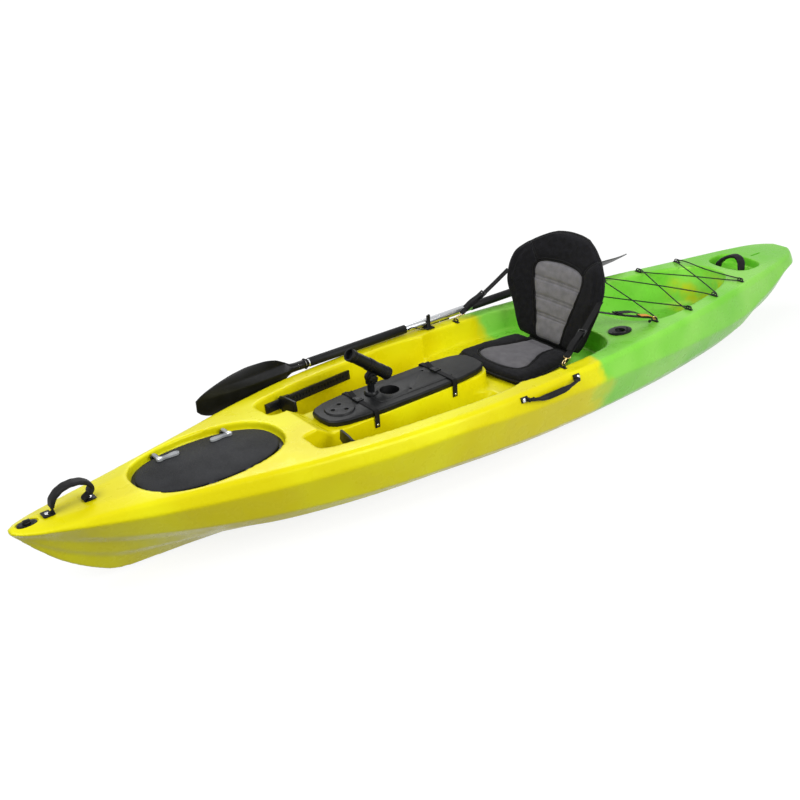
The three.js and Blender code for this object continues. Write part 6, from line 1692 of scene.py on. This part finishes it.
@dataclass
class Webbing:
    """The carrying handles at both ends, the side grips and the pod's two straps."""

    frame: dict
    finishes: Finishes
    hull: Hull
    bow_rear: float = 1596
    bow_span: float = 94
    bow_rise: float = 71
    tab: float = 32
    stern_foot: tuple[float, float, float] = (-1454, 84, 231.2)
    grip_pin: tuple[float, float, float] = (-104, 390, 276)
    grip_span: float = 232
    pod_places: Sequence[tuple[str, float, float]] = (("front", 575, 283.0), ("rear", 226, 286.0))
    pod_strap: tuple[float, float] = (0.02, 0.0021)
    end_strap: tuple[float, float] = (0.031, 0.0032)
    bow_arch: Pairs = (
        (0, 0), (-0.02, 0.1), (-0.22, 0.28), (-0.32, 0.5), (-0.22, 0.75), (0.02, 0.94), (0.34, 1),
        (0.6, 0.95), (0.82, 0.8), (0.98, 0.56), (1.04, 0.3), (1.02, 0.1), (1, 0))
    stern_arch: Pairs = (
        (0, 0), (-0.02, 0.06), (-0.03, 0.22), (-0.02, 0.42), (0.05, 0.64), (0.16, 0.82), (0.32, 0.95),
        (0.5, 1), (0.68, 0.95), (0.84, 0.82), (0.95, 0.64), (1.02, 0.42), (1.03, 0.22), (1.02, 0.06),
        (1, 0))
    grip_rows: Triples = (
        (0.012, 0, 0), (0.07, 0.3, 0), (0.16, 0.62, 0.05), (0.25, 0.86, 0.75), (0.36, 0.97, 1),
        (0.5, 1, 1), (0.64, 0.97, 1), (0.75, 0.86, 0.75), (0.84, 0.62, 0.05), (0.93, 0.3, 0),
        (0.988, 0, 0))

    def keep(self, piece: Piece, body: str, node: str) -> None:
        """Lets a piece ride on its body and stand for its CAD node."""
        piece.data.set_sharp_from_angle(angle=math.radians(45))
        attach(piece, body)
        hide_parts(node)

    def handle(self, name: str, feet: list[np.ndarray], arch: np.ndarray, across: tuple[float, float, float],
               sleeve: tuple[int, int]) -> None:
        """One end handle: a webbing loop with a rubber sleeve, clamped under two screwed plates.

        Args:
            name: bow or stern.
            feet: the ends of the webbing on the deck, in metres.
            arch: the points of the loop between them, in metres.
            across: the direction of the webbing's width.
            sleeve: the first and last arch point that the sleeve covers.
        """
        f = self.finishes
        path = even_path([feet[0], *arch, feet[1]], 0.0025)
        strap = sweep(f"{name}_loop", path, flat_section(*self.end_strap), across, f.webbing)
        parts = [strap]
        for foot, near in ((feet[0], arch[0]), (feet[1], arch[-1])):
            out = Vector(foot - near).normalized()
            middle = Vector((foot + near) / 2) + out * 0.005
            side = Vector(across)
            flat = Matrix((side, out, side.cross(out))).transposed()
            lift = Vector((0, 0, 0.0026))
            ends = [foot - np.array(out) * 0.01, foot, foot + np.array(out) * 0.004]
            tab = sweep(f"{name}_tab", even_path([p + (0, 0, 0.0026) for p in ends], 0.001),
                        flat_section(0.034, 0.0022), across, f.black)
            plate = block((0.036, 0.026, 0.0034), middle + lift, flat, 0.0012)
            parts += [tab, joined(f"{name}_plate", [plate], f.black)]
            rivet = [(0, 0.0072), (0.0009, 0.0071), (0.002, 0.0058), (0.0027, 0.0034), (0.0029, 0.0006)]
            parts.append(turned(f"{name}_rivet", rivet, middle + lift + Vector((0, 0, 0.0014)), (0, 0, 1),
                                f.steel, 32))
        whole = merge(f"{name}_handle_webbing", parts)
        self.keep(whole, "hull", f"{name}_handle_strap")
        inner = even_path(arch[sleeve[0] : sleeve[1] + 1], 0.002)
        place = np.linspace(0, 1, len(inner))
        rounded = np.clip(np.minimum(place, 1 - place) * 14, 0, 1) ** 0.35
        size = rounded * 0.14 + 0.86 + 0.03 * np.sin(place * math.pi * 14)
        turn = np.linspace(0, 2 * math.pi, 28, endpoint=False)
        cos, sin = np.cos(turn), np.sin(turn)
        oval = np.column_stack([np.sign(cos) * np.abs(cos) ** 0.55 * 0.0192,
                                np.sign(sin) * np.abs(sin) ** 0.7 * 0.0074])
        grip = sweep(f"{name}_handle_sleeve", inner, oval, across, f.rubber, size)
        self.keep(grip, "hull", f"{name}_handle_grip")

    def end_handles(self) -> None:
        """Both end handles."""
        deck = self.hull.deck_z
        run, up = np.array(self.bow_arch).T
        xs = self.bow_rear + self.bow_span * run
        arch = np.column_stack([xs, xs * 0, deck(xs) + 2.2 + self.bow_rise * up]) * MM
        ends = (self.bow_rear - self.tab, self.bow_rear + self.bow_span + self.tab)
        feet = [np.array((x, 0, float(deck(x)) + 2.2)) * MM for x in ends]
        self.handle("bow", feet, arch, (0, 1, 0), (2, 10))
        run, up = np.array(self.stern_arch).T
        x, y, z = self.stern_foot
        arch = np.column_stack([x - 44 * up**2, 56 * (2 * run - 1), z + 64 * up]) * MM
        feet = [np.array((x, sign * y, z)) * MM for sign in (-1, 1)]
        self.handle("stern", feet, arch, (1, 0, 0), (2, 12))

    def side_grips(self) -> None:
        """The two swinging rubber grips, each a moulded bow with ribs on its grip."""
        runs, downs, fats = np.array(self.grip_rows).T
        down, fat = smooth_curve(tuple(zip(runs, downs))), smooth_curve(tuple(zip(runs, fats)))
        place = np.linspace(0.012, 0.988, 260)
        rear, out, high = self.grip_pin
        for side in Side:
            path = np.column_stack([rear + self.grip_span * place, side.value * (out + 4 * down(place)),
                                    high - 13 * down(place)]) * MM
            rib = np.where(fat(place) > 0.9,
                           1 + 0.05 * np.sign(np.sin(place * self.grip_span / 7 * 2 * math.pi)), 1.0)
            radius = (6 + 4.9 * fat(place)) * rib
            grip = sweep(f"side_grip_{side.word}_bow", path, round_section(0.001, 26), (0, 0, 1),
                         self.finishes.rubber, radius)
            parts = [grip]
            hub = [(0, 0.005), (0.0008, 0.0059), (0.0162, 0.0059), (0.017, 0.0052)]
            for x, way in ((rear + 0.4, 1), (rear + self.grip_span - 0.4, -1)):
                parts.append(turned("hub", hub, Vector((x, side.value * out, high)) * MM, (way, 0, 0),
                                    self.finishes.rubber, 30))
            for end in ("front", "rear"):
                self.plate_rivet(f"side_handle_plate_{end}_{side.word}", side)
            whole = merge(f"side_grip_{side.word}", parts)
            self.keep(whole, f"side_grip_{side.word}", f"side_handle_grip_{side.word}")

    def plate_rivet(self, node: str, side: Side) -> None:
        """A domed rivet on the outer face of a side handle's plate."""
        low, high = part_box(node)
        x = high.x - 0.0095 if "front" in node else low.x + 0.0095
        start = Vector((x, side.value * 0.6, (low.z + high.z) / 2))
        mesh = self.frame["nodes"][node].data
        tree = BVHTree.FromPolygons([v.co for v in mesh.vertices], [p.vertices for p in mesh.polygons])
        at = tree.ray_cast(start, Vector((0, -side.value, 0)))[0]
        dome = [(-0.0015, 0.0078), (0.0008, 0.0077), (0.0022, 0.0064), (0.0031, 0.0038), (0.0034, 0.0006)]
        rivet = turned(f"{node}_rivet", dome, at, (0, side.value, 0), self.finishes.steel, 32)
        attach(rivet, "hull")

    def pod_straps(self) -> None:
        """The two straps over the pod's lid, each with a cam buckle, a free tail and riveted ends."""
        f = self.finishes
        for name, x, top in self.pod_places:
            half = [(100, 218), (100, 234), (100, 250), (100, 264), (99.4, 276.6), (96.6, top - 1.6),
                    (88, top), (60, top + 0.4), (20, top + 0.4)]
            over = [(x, y, z) for y, z in half] + [(x, -y, z) for y, z in half[::-1]]
            path = even_path(np.array(over) * MM, 0.0025)
            parts = [sweep("strap", path, flat_section(*self.pod_strap), (1, 0, 0), f.webbing)]
            z = top + 3.2
            frame = [block((0.0036, 0.034, 0.0058), Vector((x + o, -12, z)) * MM) for o in (-12.4, 12.4)]
            frame += [block((0.0268, 0.0046, 0.0056), Vector((x, -12 + o, z)) * MM) for o in (-14.6, 14.6)]
            frame.append(block((0.0225, 0.0205, 0.0046), Vector((x, -9.6, z + 2.0)) * MM,
                               Matrix.Rotation(math.radians(-7), 3, "X"), 0.0016))
            frame.append(block((0.0225, 0.0036, 0.0042), Vector((x, -21.6, z + 0.8)) * MM))
            parts.append(joined("buckle", frame, f.black))
            rise = ((-20, 2.4), (-30, 4.2), (-42, 7.5), (-54, 12.5), (-62, 15.5))
            tail = [(x, y, top + up) for y, up in rise]
            parts.append(sweep("tail", even_path(np.array(tail) * MM, 0.0025), flat_section(0.0195, 0.0018),
                               (1, 0, 0), f.webbing))
            for side in (-1, 1):
                rivet = [(0, 0.0046), (0.0012, 0.0045), (0.0022, 0.0034), (0.0027, 0.0014), (0.0027, 0.0004)]
                place = Vector((x, side * 101, 228)) * MM
                parts.append(turned("rivet", rivet, place, (0, side, 0), f.steel, 24))
            whole = merge(f"pod_strap_{name}_webbing", parts)
            self.keep(whole, "pod_cover", f"pod_strap_{name}")

    def build(self) -> None:
        """All of it."""
        self.end_handles()
        self.side_grips()
        self.pod_straps()


@dataclass
class Lacing:
    """The bungee cord laced from eye to eye over the tank well, with a ball at each end."""

    finishes: Finishes
    hull: Hull
    rows: Pairs = ((-700, 224), (-893, 234), (-1089, 206), (-1305, 172))
    eye_height: float = 8.3
    cord: float = 0.0025
    ball: float = 0.006
    order: Sequence[tuple[int, int, int]] = ((0, 1, 1), (1, -1, 1), (2, 1, 1), (3, -1, 1), (3, 1, -1),
                                             (2, -1, -1), (1, 1, -1), (0, -1, -1))

    def way(self) -> list[np.ndarray]:
        """The points that the cord passes, in millimetres."""
        stops = []
        for row, side, layer in self.order:
            x, y = self.rows[row]
            stops.append((x, side * y, float(self.hull.deck_z(x)) + self.eye_height, side, layer))
        points: list[tuple[float, float, float]] = []
        for i, (x, y, z, side, layer) in enumerate(stops):
            before = stops[i - 1] if i else None
            after = stops[i + 1] if i + 1 < len(stops) else None
            turning = 1 if before and before[0] == x else -1
            enter, leave = x - turning * 12, x + turning * 12
            if before:
                out = Vector((before[0] - x, before[1] - y)).normalized()
                points.append((enter + out.x * 34, y - side * 5 + out.y * 34, z + layer * 2.5))
            else:
                points.append((enter - turning * 18, y, z))
            points += [(enter, y - side, z), (x, y, z), (leave, y - side, z)]
            if after:
                out = Vector((after[0] - x, after[1] - y)).normalized()
                points.append((leave + out.x * 34, y - side * 5 + out.y * 34, z + layer * 2.5))
                points.append(((x + after[0]) / 2, (y + after[1]) / 2,
                               (z + after[2]) / 2 + (layer + after[4]) * 2.5))
            else:
                points.append((leave + turning * 18, y, z))
        return [np.array(p) for p in points]

    def build(self) -> None:
        """The cord and its balls."""
        way = self.way()
        path = even_path(np.array(way) * MM, 0.003)
        cord = sweep("lacing_cord", path, round_section(self.cord, 14), None, self.finishes.cord)
        parts = [cord]
        ball = [(-self.ball * math.cos(a), self.ball * math.sin(a) + 0.0001)
                for a in np.linspace(0.12, math.pi - 0.12, 18)]
        for end in (way[0], way[-1]):
            parts.append(turned("ball", ball, end * MM, (1, 0, 0), self.finishes.black, 32))
        whole = merge("tank_lacing_cord", parts)
        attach(whole, "hull")
        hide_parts("tank_lacing")


# The paddle


@dataclass
class Paddle:
    """The two-piece paddle: an aluminium shaft, sleeves, drip rings, moulded blades and a spring button."""

    finishes: Finishes
    blade_rows: Sequence[tuple[float, float, float, float, float]] = (
        (0, 0.193, 0.193, 1, 0), (0.06, 0.22, 0.2, 0.98, 0), (0.13, 0.42, 0.42, 0.86, 0.1),
        (0.22, 0.66, 0.7, 0.7, 0.35), (0.34, 0.78, 0.9, 0.54, 0.65), (0.48, 0.8, 1, 0.38, 0.9),
        (0.62, 0.73, 1, 0.24, 1), (0.76, 0.58, 0.97, 0.12, 0.95), (0.88, 0.38, 0.86, 0.04, 0.75),
        (0.96, 0.18, 0.68, 0, 0.55), (1, 0.03, 0.48, 0, 0.45))
    axis: tuple[float, float] = (-344, 313.4)
    joint_x: float = -61
    blade_half: float = 83
    blade_foot: float = 672.6
    blade_length: float = 424
    blade_hollow: float = 16
    feather: float = 60
    button_at: float = 45

    def shaft(self, half: str, profile: Pairs, way: int, name: str, material: Material,
              slot: str) -> Piece:
        """A lathed piece of the shaft, from places measured from the joint, in millimetres."""
        place = [(x * MM, r * MM) for x, r in profile]
        piece = turned(f"paddle_{name}_{half}_form", place, Vector((self.joint_x, *self.axis)) * MM,
                       (way, 0, 0), material, 64)
        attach(piece, f"paddle_{half}")
        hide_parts(f"paddle_{name}_{half}")
        return piece

    def blade(self, half: str, way: int) -> None:
        """One blade: a scooped face with a spine that runs out of the shaft, and a rounded rim."""
        rows = np.array(self.blade_rows)
        high, low, spine, scoop = (smooth_curve(tuple(zip(rows[:, 0], rows[:, k]))) for k in range(1, 5))
        runs = np.concatenate([np.linspace(0, 0.94, 100), 1 - (1 - np.linspace(0, 1, 22)[1:]) ** 2 * 0.06])
        angles = np.linspace(0, 2 * math.pi, 120, endpoint=False)
        rings = []
        for run in runs:
            cos, sin = np.cos(angles), np.sin(angles)
            reach = np.where(cos > 0, high(run), low(run))
            across = cos * self.blade_half * reach
            thin = 2.5 + spine(run) * 16 * np.maximum(0, 1 - np.abs(across) / 28.8)
            cup = scoop(run) * self.blade_hollow * (1 - (across / self.blade_half) ** 2)
            flat = np.sign(sin) * thin * np.sqrt(np.abs(sin))
            share = np.clip((0.13 - run) / 0.07, 0, 1)
            share = share * share * (3 - 2 * share)
            depth = share * sin * 16 + (1 - share) * flat
            x = np.full(len(angles), self.blade_foot + run * self.blade_length)
            rings.append(np.column_stack([x, depth + cup, across]))
        rings = np.array(rings)
        turn = 0.0 if half == "front" else -math.radians(self.feather)
        y, z = rings[..., 1].copy(), rings[..., 2].copy()
        rings[..., 0] = self.joint_x + way * rings[..., 0]
        rings[..., 1] = self.axis[0] + y * math.cos(turn) - z * math.sin(turn)
        rings[..., 2] = self.axis[1] + y * math.sin(turn) + z * math.cos(turn)
        piece = loft(f"paddle_blade_{half}_form", rings * MM, self.finishes.blade)
        face_out(piece.data)
        piece.data.set_sharp_from_angle(angle=math.radians(60))
        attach(piece, f"paddle_{half}")
        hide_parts(f"paddle_blade_{half}")

    def build(self) -> None:
        """Both halves and the button."""
        f = self.finishes
        for half, way in (("front", 1), ("rear", -1)):
            tube = [(0.15, 13.6), (0.15, 14.6), (0.55, 15), (671.4, 15), (671.9, 14.6), (671.9, 13.6)]
            self.shaft(half, tube, way, "shaft", f.silver, "paddle_aluminium")
            sleeve = [(170, 15.2), (170, 16.3), (170.9, 17), (621.1, 17), (622, 16.3), (622, 15.2)]
            self.shaft(half, sleeve, way, "grip", f.foam, "grip_foam")
            ring = [(628, 15.3), (628, 15.75), (630.5, 16.2), (634.2, 17.6), (637.4, 19.9), (639.2, 21),
                    (640, 20.7), (640, 19.6), (637.5, 17.8), (637, 15.3)]
            self.shaft(half, ring, way, "ring", f.rubber, "black_rubber")
            self.blade(half, way)
        knob = [(12.0, 3.1), (15.6, 3.4), (16.6, 3.1), (17.2, 1.9), (17.35, 0.5)]
        place = Vector((self.joint_x + self.button_at, *self.axis)) * MM
        button = turned("paddle_button_form", [(h * MM, r * MM) for h, r in knob], place, (0, 0, 1), f.steel,
                        40)
        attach(button, "paddle_button")
        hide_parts("paddle_button")


# Small moulded and metal pieces


@dataclass
class Details:
    """Pieces with more form than their solids: hatch levers, rod tube bands, paddle necks, keeper cord."""

    finishes: Finishes
    lever: Pairs = (
        (-11, 0), (-10.4, 4.2), (-8, 7.8), (-3, 10.6), (3, 10.6), (10, 8.2), (20, 6.6), (30, 7.2),
        (42, 9.2), (54, 10.2), (62, 9.4), (67, 6.6), (70, 2.6), (70.6, 0))
    latches: Sequence[tuple[str, float, int]] = (("front", 1299, -1), ("rear", 1044, 1))
    latch_y: float = -96
    low: float = 284.7
    pivot: tuple[float, float, float] = (508, -24, 346)
    tilt: float = 38
    rise: float = 38
    bands: Triples = (
        (34, 7, 23.4), (21, 5, 23), (-22, 3.2, 22.9), (-30, 3.2, 22.9), (-38, 3.2, 22.9),
        (-46, 3.2, 22.9), (112, 2.6, 22.6))
    cord: Triples = (
        (8, -317, 298), (16, -316, 297.5), (34, -320, 298), (56, -324.5, 305), (76, -325.6, 315),
        (90, -325.4, 319), (99, -324.8, 318.5), (104, -324.4, 316))

    def plate(self, outline: Pairs, low: float, high: float, dish: float) -> bmesh.types.BMesh:
        """A flat body from an outline in millimetres, its top dished inside a rim."""
        work = bmesh.new()
        ring = [work.verts.new((x * MM, y * MM, low * MM)) for x, y in outline]
        base = work.faces.new(ring)
        top = bmesh.ops.extrude_face_region(work, geom=[base])
        lifted = [v for v in top["geom"] if isinstance(v, bmesh.types.BMVert)]
        bmesh.ops.translate(work, vec=(0, 0, (high - low) * MM), verts=lifted)
        bmesh.ops.recalc_face_normals(work, faces=work.faces)
        edges = [e for e in work.edges if all(v.co.z > (high - 0.1) * MM for v in e.verts)]
        bmesh.ops.bevel(work, geom=edges, offset=1.1 * MM, segments=3, affect="EDGES", profile=0.5)
        if dish:
            face = max((f for f in work.faces if f.normal.z > 0.9), key=lambda f: f.calc_area())
            bmesh.ops.inset_region(work, faces=[face], thickness=1.4 * MM)
            face = max((f for f in work.faces if f.normal.z > 0.9), key=lambda f: f.calc_area())
            bmesh.ops.inset_region(work, faces=[face], thickness=0.9 * MM, depth=-dish * MM)
        return work

    def latch(self, name: str, x: float, way: int) -> None:
        """One lever with its nose, its pivot and its screw."""
        f = self.finishes
        half = even_path([(a, b, 0) for a, b in self.lever], 1.4)[:, :2]
        loop = [*half, *[(a, -b) for a, b in half[-2:0:-1]]]
        grip = self.plate([(x + way * a, self.latch_y + b) for a, b in loop], self.low, self.low + 7.4, 1.5)
        nose = [(-6.4, -4), (-6.4, -42), (-4.6, -46.4), (-1.6, -47.9), (1.6, -47.9), (4.6, -46.4), (6.4, -42),
                (6.4, -4)]
        bar = self.plate([(x + a, self.latch_y + b) for a, b in nose], self.low + 0.1, self.low + 5.4, 0)
        centre = Vector((x, self.latch_y, self.low)) * MM
        boss = turned("boss", [(0.006, 0.0094), (0.0081, 0.0093), (0.0088, 0.0086), (0.0088, 0.0066)], centre,
                      (0, 0, 1), f.steel, 36)
        head = [(0.0082, 0.0062), (0.0094, 0.0061), (0.0101, 0.0052), (0.0104, 0.003), (0.0101, 0.0016),
                (0.0093, 0.0015)]
        screw = turned("screw", head, centre, (0, 0, 1), f.steel, 30)
        whole = merge(f"hatch_latch_{name}_form", [joined("levers", [grip, bar], f.grey), boss, screw])
        face_out(whole.data)
        whole.data.set_sharp_from_angle(angle=math.radians(38))
        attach(whole, f"hatch_latch_{name}")
        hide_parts(f"hatch_latch_{name}")

    def rod_bands(self) -> None:
        """Raised bands round the rod tube."""
        lean = math.radians(self.tilt)
        axis = Vector((math.cos(lean), 0, math.sin(lean)))
        foot = (Vector(self.pivot) + Vector((-math.sin(lean), 0, math.cos(lean))) * self.rise) * MM
        rings = []
        for place, half, radius in self.bands:
            rise = [(-half, 21), (-half, radius - 0.7), (0.7 - half, radius)]
            profile = [(place + a, r) for a, r in (*rise, *[(-a, r) for a, r in rise[::-1]])]
            rings.append(turned("band", [(p * MM, r * MM) for p, r in profile], foot, axis,
                                self.finishes.black, 48))
        whole = merge("rod_tube_bands", rings)
        whole.data.set_sharp_from_angle(angle=math.radians(38))
        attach(whole, "rod_tube")

    def keeper_cord(self) -> None:
        """The short bungee that ties the paddle down, unhooked and lying beside the shaft."""
        path = even_path(np.array(self.cord) * MM, 0.0022)
        half = [(-0.0036 * math.cos(a), 0.0036 * math.sin(a) + 0.0001)
                for a in np.linspace(0.15, math.pi - 0.15, 14)]
        ball = turned("ball", half, path[-1], (1, 0, 0), self.finishes.black, 24)
        whole = merge("paddle_keeper_cord",
                      [sweep("cord", path, round_section(0.0021, 12), None, self.finishes.cord), ball])
        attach(whole, "hull")

    def necks(self) -> None:
        """The black sockets that the blades end in, over the shaft's ends."""
        for half, way in (("front", 1), ("rear", -1)):
            profile = [(641, 15.2), (641, 15.9), (642, 16.4), (668, 16.4), (671.6, 15.9), (671.6, 15.2)]
            places = [(p * MM, r * MM) for p, r in profile]
            joint = Vector((Paddle.joint_x, *Paddle.axis)) * MM
            neck = turned(f"paddle_neck_{half}", places, joint, (way, 0, 0), self.finishes.blade, 48)
            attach(neck, f"paddle_{half}")

    def build(self) -> None:
        """All of them."""
        for name, x, way in self.latches:
            self.latch(name, x, way)
        self.rod_bands()
        self.keeper_cord()
        self.necks()


def main() -> None:
    """Builds every sub-assembly of the kayak and the studio around it."""
    logging.basicConfig(level=logging.INFO, format="%(message)s")
    bpy.context.scene.frame_set(1)
    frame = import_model()
    finishes = Finishes()
    Studio().build()
    hull, stamp = Hull(finishes), Stamp()
    steps = [
        ("hull", hull), ("fittings", Fittings(frame, finishes)), ("seat", Seat(finishes, hull, stamp)),
        ("webbing", Webbing(frame, finishes, hull)),
        ("lacing", Lacing(finishes, hull)), ("paddle", Paddle(finishes)), ("details", Details(finishes)),
    ]
    for name, maker in steps:
        maker.build()
        log.info("%s done", name)


if __name__ == "__main__":
    main()
